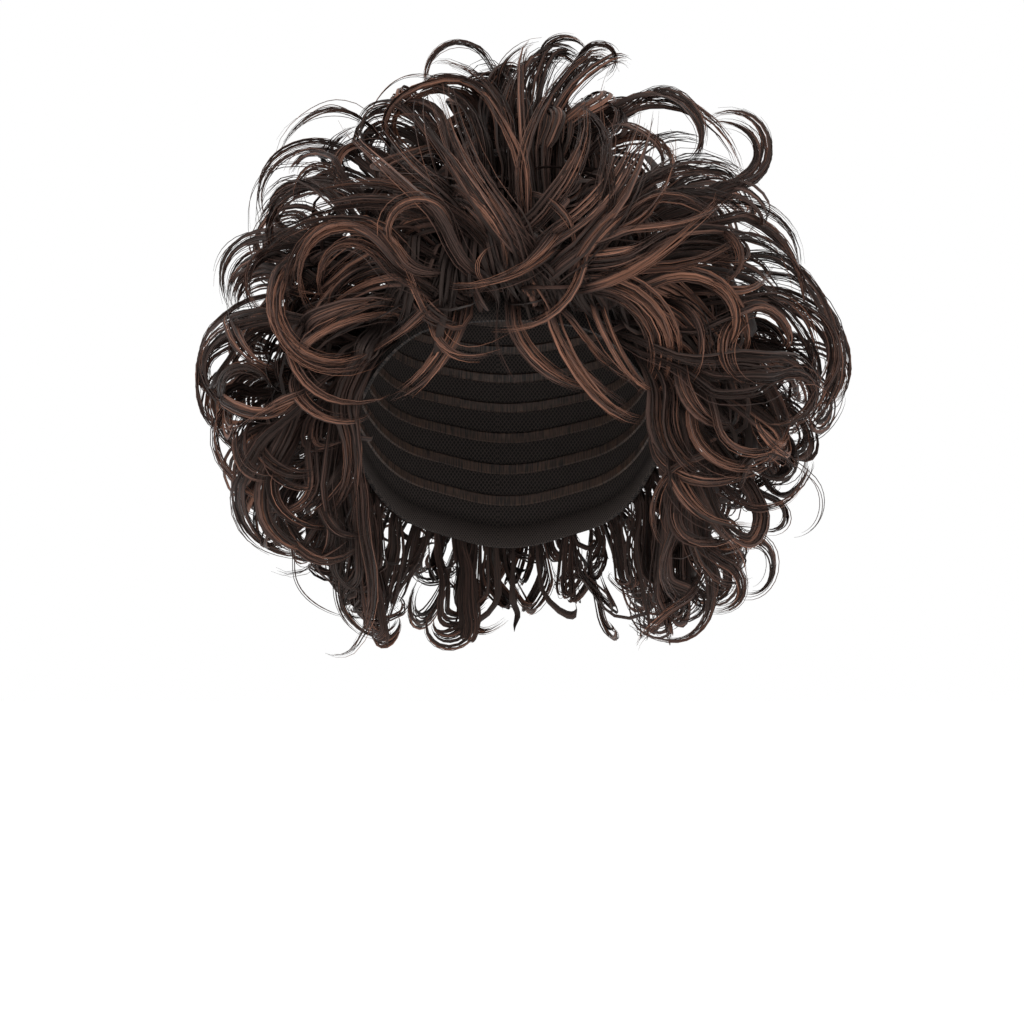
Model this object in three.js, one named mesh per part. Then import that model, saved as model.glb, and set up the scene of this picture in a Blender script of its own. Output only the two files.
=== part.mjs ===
// Short curly wig: an open cap that carries tufts of curled hair in tiers,
// with loose fringe locks over the brow.
// Millimetres, +Z up. The origin is on the inside of the cap's crown.
// The brow opening looks along -Y, and +X is the left side as worn.

import * as THREE from "three";
import { mergeVertices } from "three/addons/utils/BufferGeometryUtils.js";

// Dome, the form of the cap's inside: half an ellipsoid above its widest level,
// and a skirt that narrows below it
const DOME_HALF_WIDTH = 78.5;
const DOME_HALF_LENGTH = 99;
const DOME_HEIGHT = 100;
const WIDEST_POLAR = 90;
const SKIRT_MM_PER_DEGREE = 1.85;
const NECK_POLAR = 152;
const NECK_TAPER = 0.15;
const NECK_TAPER_POWER = 1.5;

// Cap
const CAP_WALL = 1.5;
const CAP_RINGS = 9;
const CAP_SECTORS = 40;

// Hair
const ROOT_GAP = 0.7;
const TUFT_GAP = 0.7;
const TUFT_SEGMENTS = { across: 4, down: 4, out: 3 };
const TUFT_PINCH = 0.06;
const LOBE_DROP = 0.15;
const LOBE_POWER = 2.5;
const LOBE_VARIATION = 0.06;
const HAIR_DROOP = 8;
const DROOP_HEIGHT = 80;
const FRINGE_SEGMENTS = { across: 2, deep: 2, along: 10 };
const FRINGE_TIP_SHARE = 0.35;
const FRINGE_SWING_POWER = 1.6;
const NUDGE = 0.01;

// Polar angle of the cap's rim, from the crown, by azimuth from the middle of the brow
const CAP_RIM = [
  { azimuth: 0, polar: 63 },
  { azimuth: 40, polar: 66 },
  { azimuth: 62, polar: 84 },
  { azimuth: 78, polar: 97 },
  { azimuth: 100, polar: 95 },
  { azimuth: 130, polar: 116 },
  { azimuth: 180, polar: 126 },
];

// Height of the hair's outer form over the dome, by polar angle, on eight sides
const HAIR_HEIGHT = [
  { polar: 0, front: 76, frontLeft: 77, left: 78, backLeft: 76,
    back: 75, backRight: 75, right: 76, frontRight: 76 },
  { polar: 32, front: 64, frontLeft: 76, left: 86, backLeft: 78,
    back: 73, backRight: 75, right: 78, frontRight: 70 },
  { polar: 62, front: 40, frontLeft: 62, left: 87, backLeft: 80,
    back: 72, backRight: 76, right: 77, frontRight: 58 },
  { polar: 90, front: 28, frontLeft: 48, left: 92, backLeft: 78,
    back: 68, backRight: 72, right: 76, frontRight: 46 },
  { polar: 122, front: 24, frontLeft: 40, left: 70, backLeft: 66,
    back: 58, backRight: 60, right: 60, frontRight: 38 },
  { polar: 152, front: 12, frontLeft: 16, left: 26, backLeft: 34,
    back: 34, backRight: 32, right: 22, frontRight: 14 },
];
const SIDES = ["front", "frontLeft", "left", "backLeft", "back", "backRight", "right", "frontRight"];
const DEGREES_PER_SIDE = 360 / SIDES.length;

// Tiers of tufts from the crown down. A tier runs round the dome from one azimuth to the other.
const TIERS = [
  { name: "crown_tuft", polarFrom: 1.5, polarTo: 30, azimuthFrom: 36, azimuthTo: 396, count: 5 },
  { name: "upper_tuft", polarFrom: 30, polarTo: 64, azimuthFrom: 18, azimuthTo: 378, count: 10 },
  { name: "middle_tuft", polarFrom: 64, polarTo: 92, azimuthFrom: 52, azimuthTo: 308, count: 8 },
  { name: "lower_tuft", polarFrom: 92, polarTo: 122, azimuthFrom: 60, azimuthTo: 300, count: 7 },
  { name: "nape_tuft", polarFrom: 122, polarTo: NECK_POLAR, azimuthFrom: 86, azimuthTo: 274, count: 6 },
];

// Loose locks that fall from the front hairline and sweep sideways over the brow.
// turn is how far the fall runs through its arc: past 90 degrees the tip rises again.
const FRINGE_ROOT_POLAR = 64;
const FRINGE_LOCKS = [
  { rootAzimuth: -18, tipAzimuth: -49, fall: 22, turn: 90, lift: 5.0, width: 9, depth: 4.0 },
  { rootAzimuth: -25, tipAzimuth: 3, fall: 12, turn: 135, lift: 11.0, width: 5, depth: 3.0 },
  { rootAzimuth: 2, tipAzimuth: 37, fall: 20, turn: 95, lift: 5.0, width: 8, depth: 4.0 },
  { rootAzimuth: 14, tipAzimuth: 49, fall: 27, turn: 95, lift: 12.0, width: 7, depth: 4.0 },
  { rootAzimuth: 27, tipAzimuth: 49, fall: 21, turn: 90, lift: 19.0, width: 9, depth: 4.0 },
];

const CAP_MATERIAL = new THREE.MeshStandardMaterial({ color: 0x1c1715, roughness: 0.9, metalness: 0 });
const HAIR_MATERIAL = new THREE.MeshStandardMaterial({ color: 0x3a2720, roughness: 0.45, metalness: 0 });

const { degToRad, lerp, clamp, euclideanModulo } = THREE.MathUtils;

// A smooth step between two neighbouring values of a table.
function ease(from, to, share) {
  return lerp(from, to, (1 - Math.cos(Math.PI * share)) / 2);
}

// Outward direction of the dome at an azimuth and polar angle, in degrees.
function domeNormal(azimuth, polar) {
  const around = degToRad(azimuth);
  const down = degToRad(Math.min(polar, WIDEST_POLAR));
  return new THREE.Vector3(
    (Math.sin(down) * Math.sin(around)) / DOME_HALF_WIDTH,
    (-Math.sin(down) * Math.cos(around)) / DOME_HALF_LENGTH,
    Math.cos(down) / DOME_HEIGHT,
  ).normalize();
}

// A point over the dome. Hair that stands far out at the sides droops a little.
function domePoint(azimuth, polar, height) {
  const around = degToRad(azimuth);
  const down = degToRad(Math.min(polar, WIDEST_POLAR));
  const past = Math.max(polar - WIDEST_POLAR, 0);
  const narrowing = 1 - NECK_TAPER * (past / (NECK_POLAR - WIDEST_POLAR)) ** NECK_TAPER_POWER;
  const ring = Math.sin(down) * narrowing;
  const droop = HAIR_DROOP * (height / DROOP_HEIGHT) ** 2 * Math.sin(down) ** 2;
  return new THREE.Vector3(
    DOME_HALF_WIDTH * ring * Math.sin(around),
    -DOME_HALF_LENGTH * ring * Math.cos(around),
    DOME_HEIGHT * (Math.cos(down) - 1) - past * SKIRT_MM_PER_DEGREE - droop,
  ).addScaledVector(domeNormal(azimuth, polar), height);
}

// The table's rows on either side of a value of one of its columns, and the share of the way between them.
function bracket(rows, column, value) {
  const next = clamp(rows.findIndex((row) => row[column] >= value), 1, rows.length - 1);
  const [before, after] = [rows[next - 1], rows[next]];
  const share = clamp((value - before[column]) / (after[column] - before[column]), 0, 1);
  return { before, after, share };
}

function rimPolar(azimuth) {
  const fromBrow = Math.abs(euclideanModulo(azimuth + 180, 360) - 180);
  const { before, after, share } = bracket(CAP_RIM, "azimuth", fromBrow);
  return ease(before.polar, after.polar, share);
}

function hairHeight(azimuth, polar) {
  const place = euclideanModulo(azimuth, 360) / DEGREES_PER_SIDE;
  const side = SIDES[Math.floor(place)];
  const nextSide = SIDES[(Math.floor(place) + 1) % SIDES.length];
  const { before, after, share } = bracket(HAIR_HEIGHT, "polar", polar);
  const onRow = (row) => ease(row[side], row[nextSide], place % 1);
  return ease(onRow(before), onRow(after), share);
}

// Moves every vertex of a closed geometry by a function of its place.
function reshape(geometry, place) {
  geometry.deleteAttribute("normal");
  geometry.deleteAttribute("uv");
  const merged = mergeVertices(geometry);
  const position = merged.getAttribute("position");
  const vertex = new THREE.Vector3();
  for (let i = 0; i < position.count; i++) {
    vertex.fromBufferAttribute(position, i);
    position.setXYZ(i, ...place(vertex));
  }
  merged.computeVertexNormals();
  return merged;
}

function mesh(name, geometry, material) {
  const made = new THREE.Mesh(geometry, material);
  made.name = name;
  return made;
}

// The cap starts as a thin turned disc, whose radius is the share of the way from the crown to the rim.
function buildCap() {
  const shares = Array.from({ length: CAP_RINGS }, (_, ring) => (ring + 1) / CAP_RINGS);
  const profile = [
    new THREE.Vector2(0, 0),
    ...shares.map((share) => new THREE.Vector2(share, 0)),
    ...shares.toReversed().map((share) => new THREE.Vector2(share, CAP_WALL)),
    new THREE.Vector2(0, CAP_WALL),
  ];
  const dome = reshape(new THREE.LatheGeometry(profile, CAP_SECTORS), ({ x, y, z }) => {
    const azimuth = THREE.MathUtils.radToDeg(Math.atan2(x, z));
    return domePoint(azimuth, Math.hypot(x, z) * rimPolar(azimuth), y);
  });
  return mesh("cap", dome, CAP_MATERIAL);
}

// Half the gap between two tufts, as an angle at a given distance from the dome's axis.
function insetDegrees(radius) {
  return THREE.MathUtils.radToDeg(TUFT_GAP / 2 / radius);
}

// How far out a tuft reaches over its cell: full in the middle, and lower towards the grooves round it.
function lobe(across, down) {
  const fall = (share) => Math.abs(2 * share - 1) ** LOBE_POWER;
  return 1 - LOBE_DROP * (fall(across) + fall(down));
}

// One tuft: a block of hair between two azimuths and two polar angles, from its roots out to a rounded lobe.
function buildTuft(tier, index) {
  const step = (tier.azimuthTo - tier.azimuthFrom) / tier.count;
  const azimuthFrom = tier.azimuthFrom + index * step;
  const variation = 1 + LOBE_VARIATION * Math.sin((index + 1) * tier.polarTo);
  const root = CAP_WALL + ROOT_GAP;
  const { across, down, out } = TUFT_SEGMENTS;
  const block = new THREE.BoxGeometry(1, 1, 1, across, down, out).translate(0.5, 0.5, 0.5);
  const shaped = reshape(block, ({ x, y, z }) => {
    const pinch = 1 - TUFT_PINCH * z ** 2;
    const around = 0.5 + (x - 0.5) * pinch;
    const fromTop = 0.5 + (0.5 - y) * pinch;
    const polarInset = insetDegrees(DOME_HALF_WIDTH);
    const polar = lerp(tier.polarFrom + polarInset, tier.polarTo - polarInset, fromTop);
    const inset = insetDegrees(DOME_HALF_WIDTH * Math.sin(degToRad(Math.min(polar, WIDEST_POLAR))));
    const azimuth = lerp(azimuthFrom + inset, azimuthFrom + step - inset, around);
    const top = hairHeight(azimuth, polar) * lobe(x, y) * variation;
    return domePoint(azimuth, polar, lerp(root, top, z));
  });
  return mesh(`${tier.name}_${index + 1}`, shaped, HAIR_MATERIAL);
}

// One fringe lock: a flat tapering strip that falls from the hairline and swings to the side.
function buildFringeLock(row, index) {
  const centre = (share) => {
    const swing = share ** FRINGE_SWING_POWER;
    const fall = Math.sin(degToRad(row.turn * share)) * row.fall;
    const azimuth = lerp(row.rootAzimuth, row.tipAzimuth, swing);
    return { azimuth, polar: FRINGE_ROOT_POLAR + fall };
  };
  const onBrow = (share) => {
    const { azimuth, polar } = centre(share);
    return domePoint(azimuth, polar, row.lift);
  };
  const { across, deep, along } = FRINGE_SEGMENTS;
  const strip = new THREE.BoxGeometry(1, 1, 1, across, deep, along).translate(0, 0, 0.5);
  const shaped = reshape(strip, ({ x, y, z }) => {
    const { azimuth, polar } = centre(z);
    const outward = domeNormal(azimuth, polar);
    const heading = onBrow(Math.min(z + NUDGE, 1)).sub(onBrow(Math.max(z - NUDGE, 0))).normalize();
    const sideways = new THREE.Vector3().crossVectors(outward, heading).normalize();
    const taper = lerp(1, FRINGE_TIP_SHARE, z ** 2);
    const rounding = 1 - Math.abs(x);
    return onBrow(z)
      .addScaledVector(sideways, x * row.width * taper)
      .addScaledVector(outward, y * row.depth * rounding * taper);
  });
  return mesh(`fringe_lock_${index + 1}`, shaped, HAIR_MATERIAL);
}

const wig = new THREE.Group();
wig.name = "wig";
wig.add(buildCap());
for (const tier of TIERS) {
  for (let index = 0; index < tier.count; index++) wig.add(buildTuft(tier, index));
}
FRINGE_LOCKS.forEach((row, index) => wig.add(buildFringeLock(row, index)));

export default wig;
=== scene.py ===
"""Looks of a short curly wig: a net cap, tufts of curled hair in tiers and loose fringe locks.

Metres, +Z up. The origin is on the inside of the cap's crown, the front opening looks along -Y,
and +X is the left side as worn. An azimuth runs from the middle of the front towards the left side,
a polar angle runs down from the crown, and both are in degrees.
"""

import logging
import math
from dataclasses import dataclass
from enum import Enum

import bmesh
import bpy
import numpy as np
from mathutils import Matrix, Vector
from mathutils.bvhtree import BVHTree


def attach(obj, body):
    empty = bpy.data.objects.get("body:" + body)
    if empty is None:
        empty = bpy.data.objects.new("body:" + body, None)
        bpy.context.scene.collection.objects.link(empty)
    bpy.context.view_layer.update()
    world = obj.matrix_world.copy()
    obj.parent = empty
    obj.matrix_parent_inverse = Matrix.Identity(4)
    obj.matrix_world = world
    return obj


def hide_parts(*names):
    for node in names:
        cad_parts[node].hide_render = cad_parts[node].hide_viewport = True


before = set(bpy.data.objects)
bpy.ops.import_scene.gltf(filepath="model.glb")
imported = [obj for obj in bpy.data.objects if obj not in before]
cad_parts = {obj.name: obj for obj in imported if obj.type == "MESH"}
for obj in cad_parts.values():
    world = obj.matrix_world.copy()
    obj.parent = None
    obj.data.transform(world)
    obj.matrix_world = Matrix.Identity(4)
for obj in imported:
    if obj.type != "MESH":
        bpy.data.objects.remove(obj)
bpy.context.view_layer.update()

Array = np.ndarray
Rng = np.random.Generator
NodeTree = bpy.types.ShaderNodeTree
Socket = bpy.types.NodeSocket
Color = tuple[float, float, float, float]
Pixel = tuple[float, float]
Range = tuple[float, float]
Triple = tuple[float, float, float]
LOG = logging.getLogger("wig")
MM = 0.001
NEAR_ZERO = 1e-12
SEED = 417
BODY = "root"


def unit(vectors: Array) -> Array:
    """Scales vectors to length 1.

    Args:
        vectors: An array whose last axis holds the vectors.

    Returns:
        The same directions at length 1.
    """
    return vectors / np.maximum(np.linalg.norm(vectors, axis=-1, keepdims=True), NEAR_ZERO)


def smooth_step(low: float, high: float, value: Array) -> Array:
    """Rises smoothly from 0 at one value to 1 at another.

    Args:
        low: The value up to which the result is 0.
        high: The value from which the result is 1.
        value: Where to read the rise.

    Returns:
        Numbers between 0 and 1.
    """
    share = np.clip((value - low) / (high - low), 0.0, 1.0)
    return share * share * (3.0 - 2.0 * share)


def deselect_all() -> None:
    """Leaves no object selected, so that an operator acts only on what is added next."""
    bpy.ops.object.select_all(action="DESELECT")


def new_object(name: str, data: bpy.types.ID) -> bpy.types.Object:
    """Makes an object at the origin and puts it in the scene.

    Args:
        name: Its name.
        data: Its mesh, lamp or camera.

    Returns:
        The object.
    """
    made = bpy.data.objects.new(name, data)
    bpy.context.scene.collection.objects.link(made)
    return made


@dataclass(frozen=True)
class Dome:
    """The form of the cap's inside, which the roots of the hair follow.

    It is half an ellipsoid above its widest level, with a skirt below that narrows towards the nape.
    """

    half_width: float = 78.5 * MM
    half_length: float = 99.0 * MM
    height: float = 100.0 * MM
    wall: float = 1.5 * MM
    widest_polar: float = 90.0
    nape_polar: float = 152.0
    skirt_per_degree: float = 1.85 * MM
    nape_taper: float = 0.15
    taper_power: float = 1.5
    rim_azimuths: tuple[float, ...] = (0.0, 40.0, 62.0, 78.0, 100.0, 130.0, 180.0)
    rim_polars: tuple[float, ...] = (63.0, 66.0, 84.0, 97.0, 95.0, 116.0, 126.0)
    rim_easing: float = 14.0

    RIM_SAMPLES = 9
    PLACE_ROUNDS = 12
    DEEPEST_SHARE = 0.5

    def normal(self, azimuth: Array, polar: Array) -> Array:
        """Gives the outward direction.

        Args:
            azimuth: Azimuths of the places asked for.
            polar: Their polar angles.

        Returns:
            Unit vectors, one for each place.
        """
        around = np.radians(azimuth)
        down = np.radians(np.minimum(polar, self.widest_polar))
        return unit(
            np.stack(
                [
                    np.sin(down) * np.sin(around) / self.half_width,
                    -np.sin(down) * np.cos(around) / self.half_length,
                    np.cos(down) / self.height,
                ],
                axis=-1,
            )
        )

    def point(self, azimuth: Array, polar: Array, lift: Array) -> Array:
        """Gives points over the dome.

        Args:
            azimuth: Azimuths of the places asked for.
            polar: Their polar angles.
            lift: Heights over the dome, along its normal.

        Returns:
            Points, one for each place.
        """
        azimuth, polar, lift = np.broadcast_arrays(azimuth, polar, lift)
        around = np.radians(azimuth)
        down = np.radians(np.minimum(polar, self.widest_polar))
        past = np.maximum(polar - self.widest_polar, 0.0)
        ring = np.sin(down) * self.narrowing(past)
        foot = np.stack(
            [
                self.half_width * ring * np.sin(around),
                -self.half_length * ring * np.cos(around),
                self.height * (np.cos(down) - 1.0) - past * self.skirt_per_degree,
            ],
            axis=-1,
        )
        return foot + self.normal(azimuth, polar) * lift[..., None]

    def narrowing(self, past: Array) -> Array:
        """Gives the share of its widest size that the skirt has some degrees past its widest level."""
        return 1.0 - self.nape_taper * (past / (self.nape_polar - self.widest_polar)) ** self.taper_power

    def place_of(self, points: Array) -> tuple[Array, Array, Array]:
        """Finds where points lie over the dome, taking the levels over it as ellipsoids.

        Args:
            points: Points outside the dome, one in each row.

        Returns:
            The azimuths, the polar angles and the lifts of the points.
        """
        around = np.asarray(points) + (0.0, 0.0, self.height)
        above = np.maximum(around[:, 2], 0.0)
        past = np.maximum(-around[:, 2], 0.0) / self.skirt_per_degree
        ring = self.narrowing(past)
        lift = np.zeros(len(around))
        for _ in range(self.PLACE_ROUNDS):
            level = np.stack(
                [
                    around[:, 0] / (self.half_width * ring + lift),
                    around[:, 1] / (self.half_length * ring + lift),
                    above / (self.height + lift),
                ],
                axis=-1,
            )
            lift = lift + (np.linalg.norm(level, axis=-1) - 1.0) * (self.half_width + lift)
            lift = np.maximum(lift, -self.DEEPEST_SHARE * self.half_width)
        azimuth = np.degrees(np.arctan2(level[:, 0], -level[:, 1]))
        tilted = np.degrees(np.arccos(np.clip(level[:, 2], -1.0, 1.0)))
        return azimuth, tilted + past, lift

    def rim_polar(self, azimuth: Array) -> Array:
        """Gives the polar angle of the cap's rim, eased round its corners.

        Args:
            azimuth: The azimuths asked for.

        Returns:
            Polar angles, one for each azimuth.
        """
        beside = np.linspace(-self.rim_easing, self.rim_easing, self.RIM_SAMPLES)
        about = np.asarray(azimuth)[..., None] + beside
        from_front = np.abs((about + 180.0) % 360.0 - 180.0)
        return np.interp(from_front, self.rim_azimuths, self.rim_polars).mean(axis=-1)


@dataclass(frozen=True)
class Tier:
    """One tier of tufts, which share its stretch of the dome between them."""

    name: str
    count: int
    polar_from: float
    polar_to: float
    azimuth_from: float
    azimuth_to: float
    locks: int
    under_locks: int
    curl_size: float = 1.0
    warm_share: float = 0.35

    def cell(self, index: int) -> Range:
        """Gives the azimuths between which a tuft of this tier lies.

        Args:
            index: The tuft's number in the tier, from 0.

        Returns:
            Its first and last azimuth.
        """
        step = (self.azimuth_to - self.azimuth_from) / self.count
        start = self.azimuth_from + index * step
        return start, start + step

    def nearest(self, azimuth: float, polar: float) -> tuple[float, int]:
        """Finds the tuft of this tier that lies nearest to a place.

        Args:
            azimuth: The azimuth of the place.
            polar: Its polar angle.

        Returns:
            How many degrees the place lies outside the tier, and the tuft's number from 0.
        """
        middle = (self.azimuth_from + self.azimuth_to) / 2
        half = (self.azimuth_to - self.azimuth_from) / 2
        turn = (azimuth - middle + 180.0) % 360.0 - 180.0
        beside = max(abs(turn) - half, 0.0) * math.sin(math.radians(min(polar, 90.0)))
        beyond = max(self.polar_from - polar, polar - self.polar_to, 0.0)
        index = int((turn + half) / (2 * half) * self.count)
        return math.hypot(beside, beyond), min(max(index, 0), self.count - 1)


TIERS = (
    Tier("crown_tuft", 5, 1.5, 30.0, 36.0, 396.0, locks=9, under_locks=24),
    Tier("upper_tuft", 10, 30.0, 64.0, 18.0, 378.0, locks=9, under_locks=31),
    Tier("middle_tuft", 8, 64.0, 92.0, 52.0, 308.0, locks=9, under_locks=36),
    Tier(
        "lower_tuft", 7, 92.0, 122.0, 60.0, 300.0, locks=9, under_locks=14, curl_size=0.85, warm_share=0.15
    ),
    Tier("nape_tuft", 6, 122.0, 152.0, 86.0, 274.0, locks=11, under_locks=4, curl_size=0.7, warm_share=0.1),
)


class Outline:
    """How far the hair reaches to both sides at some levels, as it shows from the front."""

    LEVELS = np.array((-213.0, -190.0, -175.0, -160.0, -130.0, -80.0, -50.0, 0.0, 24.0, 47.0, 65.0)) * MM
    RIGHT = -np.array((66.0, 74.0, 95.0, 114.0, 138.0, 154.0, 150.0, 132.0, 113.0, 76.0, 50.0)) * MM
    LEFT = np.array((64.0, 104.0, 122.0, 132.0, 144.0, 168.0, 158.0, 140.0, 127.0, 95.0, 65.0)) * MM

    def move_in(self, points: Array) -> float:
        """Gives the move along X that brings points inside the outline.

        Args:
            points: Points, one in each row.

        Returns:
            The move, which is 0 where none of them stands out.
        """
        too_far_left = np.max(points[:, 0] - np.interp(points[:, 2], self.LEVELS, self.LEFT))
        too_far_right = np.max(np.interp(points[:, 2], self.LEVELS, self.RIGHT) - points[:, 0])
        return max(float(too_far_right), 0.0) - max(float(too_far_left), 0.0)


class OuterForm:
    """The outer form of the hair, read from the solids of the tufts."""

    AZIMUTH_STEP = 7.5
    POLAR_STEP = 4.0
    RAY_START = 200.0 * MM
    FALL_PER_STEP = 0.65
    ROW_MARGIN = 1.001
    SIGHT_FROM = -0.21
    SIGHT_TO = 0.05
    SIGHT_STEPS = 131
    OUTLINE = Outline()

    def __init__(self, dome: Dome, nodes: list[bpy.types.Object]) -> None:
        """Reads the heights of the hair over the dome.

        Args:
            dome: The form that the heights are measured from.
            nodes: The tufts' solids.
        """
        self.dome = dome
        self.tree = self._tree(nodes)
        self.azimuths = np.arange(0.0, 360.0, self.AZIMUTH_STEP)
        self.polars = np.arange(0.0, dome.nape_polar + self.POLAR_STEP / 2, self.POLAR_STEP)
        self.heights = self._heights()

    def _tree(self, solids: list[bpy.types.Object]) -> BVHTree:
        """Makes one search tree of several solids.

        Args:
            solids: Mesh objects that sit at the origin.

        Returns:
            A tree of all their faces.
        """
        corners, faces = [], []
        for solid in solids:
            first = len(corners)
            corners += [vertex.co.copy() for vertex in solid.data.vertices]
            faces += [[first + i for i in polygon.vertices] for polygon in solid.data.polygons]
        return BVHTree.FromPolygons(corners, faces)

    def _heights(self) -> Array:
        """Measures the hair's height on a grid of azimuths and polar angles, over the grooves between tufts.

        Returns:
            Heights in rows of constant polar angle, which fall away below the lowest hair.
        """
        azimuth, polar = np.meshgrid(self.azimuths, self.polars)
        starts = self.dome.point(azimuth, polar, self.RAY_START)
        inward = -self.dome.normal(azimuth, polar)
        heights = np.zeros(azimuth.shape)
        for at in np.ndindex(heights.shape):
            found, _, _, far = self.tree.ray_cast(Vector(starts[at]), Vector(inward[at]), self.RAY_START)
            heights[at] = 0.0 if found is None else self.RAY_START - far
        heights = np.max([np.roll(heights, shift, axis=1) for shift in (-1, 0, 1)], axis=0)
        for row in range(1, len(heights)):
            heights[row] = np.where(heights[row] > 0.0, heights[row], heights[row - 1] * self.FALL_PER_STEP)
        return heights

    def height(self, azimuth: Array, polar: Array) -> Array:
        """Gives the hair's height over the dome at some places.

        Args:
            azimuth: Azimuths of the places.
            polar: Their polar angles.

        Returns:
            Heights, one for each place.
        """
        column = (np.asarray(azimuth) % 360.0) / self.AZIMUTH_STEP
        row = np.clip(np.asarray(polar) / self.POLAR_STEP, 0.0, len(self.polars) - self.ROW_MARGIN)
        left, top = column.astype(int) % len(self.azimuths), row.astype(int)
        right = (left + 1) % len(self.azimuths)
        across, down = column - column.astype(int), row - top
        above = self.heights[top, left] * (1.0 - across) + self.heights[top, right] * across
        below = self.heights[top + 1, left] * (1.0 - across) + self.heights[top + 1, right] * across
        return above * (1.0 - down) + below * down

    def meet(self, start: Array, toward: Array, proud: float) -> Array:
        """Finds where a line of sight meets the outer form, or passes nearest to it.

        Args:
            start: Where the line starts.
            toward: Its direction, with a length of 1 along Y.
            proud: How far outside the outer form the point may lie.

        Returns:
            The point.
        """
        far = np.linspace(self.SIGHT_FROM, self.SIGHT_TO, self.SIGHT_STEPS) - start[1]
        points = start + toward * far[:, None]
        azimuth, polar, lift = self.dome.place_of(points)
        over = lift - self.height(azimuth, polar) - proud
        inside = np.nonzero(over < 0.0)[0]
        return points[inside[0] if len(inside) else int(np.argmin(over))]

    def move_in(self, points: Array, proud: float, lowest: float) -> Array:
        """Gives the move that brings a curl inside the outer form.

        Args:
            points: The curl's points, one in each row.
            proud: How far outside the outer form they may lie.
            lowest: The level that they don't hang below.

        Returns:
            The move, to add to every point.
        """
        azimuth, polar, lift = self.dome.place_of(points)
        over = lift - self.height(azimuth, polar) - proud
        worst = int(np.argmax(over))
        move = -self.dome.normal(azimuth[worst], polar[worst]) * max(float(over[worst]), 0.0)
        move[2] += max(lowest - float(np.min(points[:, 2] + move[2])), 0.0)
        move[0] += self.OUTLINE.move_in(points + move)
        return move


@dataclass(frozen=True)
class Flow:
    """The way the hair lies over the dome: away from the crown whorl and from the parting over the front."""

    dome: Dome
    whorl: tuple[float, float] = (180.0, 10.0)
    parting: tuple[float, float] = (-17.0, 48.0)
    parting_pull: float = 0.55
    fall: float = 2.0

    NEAREST_SQUARE = 1e-8

    def direction(self, azimuth: float, polar: float) -> Array:
        """Gives the direction in which the hair lies at a place.

        Args:
            azimuth: The azimuth of the place.
            polar: Its polar angle.

        Returns:
            A unit vector along the dome.
        """
        here = self.dome.point(azimuth, polar, 0.0)
        normal = self.dome.normal(azimuth, polar)
        pull = np.zeros(3)
        for source, strength in ((self.whorl, 1.0), (self.parting, self.parting_pull)):
            away = here - self.dome.point(*source, 0.0)
            pull += strength * away / max(float(away @ away), self.NEAREST_SQUARE)
        pull += np.array((0.0, 0.0, -self.fall))
        return unit(pull - normal * float(pull @ normal))


class CurlStyle(Enum):
    """How a lock curls."""

    STANDING = "stands out and rolls over along the flow"
    FLAT = "lies along the flow and rings sideways"
    SWEEP = "sweeps along the flow in a wide arc"
    FLIP = "hangs down and flips outwards"


@dataclass(frozen=True)
class CurlHabit:
    """The ranges from which the locks of one style are drawn. Lean, turn and sweep are in degrees.

    Lean tips the curl's first direction from straight out to along the flow. Turn rolls the curl's axis
    about that direction: 0 rolls over along the flow, 90 rings sideways and 180 rolls outwards.
    """

    lean: Range
    turn: Range
    either_hand: bool
    end_radius: Range
    opening: Range
    sweep: Range


HABITS = {
    CurlStyle.STANDING: CurlHabit(
        lean=(5.0, 50.0), turn=(-45.0, 45.0), either_hand=False,
        end_radius=(7.0 * MM, 13.0 * MM), opening=(1.3, 2.0), sweep=(150.0, 290.0),
    ),
    CurlStyle.FLAT: CurlHabit(
        lean=(45.0, 80.0), turn=(50.0, 90.0), either_hand=True,
        end_radius=(8.0 * MM, 15.0 * MM), opening=(1.4, 2.2), sweep=(150.0, 280.0),
    ),
    CurlStyle.SWEEP: CurlHabit(
        lean=(35.0, 70.0), turn=(10.0, 80.0), either_hand=True,
        end_radius=(10.0 * MM, 17.0 * MM), opening=(1.8, 2.8), sweep=(110.0, 200.0),
    ),
    CurlStyle.FLIP: CurlHabit(
        lean=(70.0, 95.0), turn=(140.0, 220.0), either_hand=False,
        end_radius=(5.0 * MM, 9.0 * MM), opening=(1.4, 2.2), sweep=(110.0, 230.0),
    ),
}


@dataclass(frozen=True)
class Curl:
    """An arc of shrinking radius about an axis.

    Its sweep is in radians, and its pitch is the way along the axis for each of them.
    """

    centre: Array
    heading: Array
    axis: Array
    radius: float
    end_radius: float
    sweep: float
    pitch: float

    STEPS = 46

    def points(self) -> Array:
        """Gives the middle line of the curl.

        Returns:
            Points from its beginning to its tip, one in each row.
        """
        outward = np.cross(self.heading, self.axis)
        share = np.linspace(0.0, 1.0, self.STEPS)[:, None]
        angle = share * self.sweep
        radius = self.radius + (self.end_radius - self.radius) * share
        turning = outward * np.cos(angle) + self.heading * np.sin(angle)
        return self.centre + turning * radius + self.axis * self.pitch * angle


STEM_POINTS = 24
STEM_PULL = 0.9
ROUNDING_PULL = 0.5
SWAY_PACES = (0.8, 1.25)


def stem_points(root: Array, leave: Array, first: Array, heading: Array) -> Array:
    """Gives the middle line of a lock's stem, which leaves the cap and runs into a curl.

    Args:
        root: Where the stem is rooted.
        leave: The direction in which it leaves the cap.
        first: The first point of the curl.
        heading: The direction of the curl there.

    Returns:
        Points from the root up to just before the curl, one in each row.
    """
    run = np.linalg.norm(first - root) * STEM_PULL
    t = np.linspace(0.0, 1.0, STEM_POINTS, endpoint=False)[:, None]
    return (
        (2 * t**3 - 3 * t**2 + 1) * root
        + (t**3 - 2 * t**2 + t) * leave * run
        + (3 * t**2 - 2 * t**3) * first
        + (t**3 - t**2) * heading * run
    )


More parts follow.
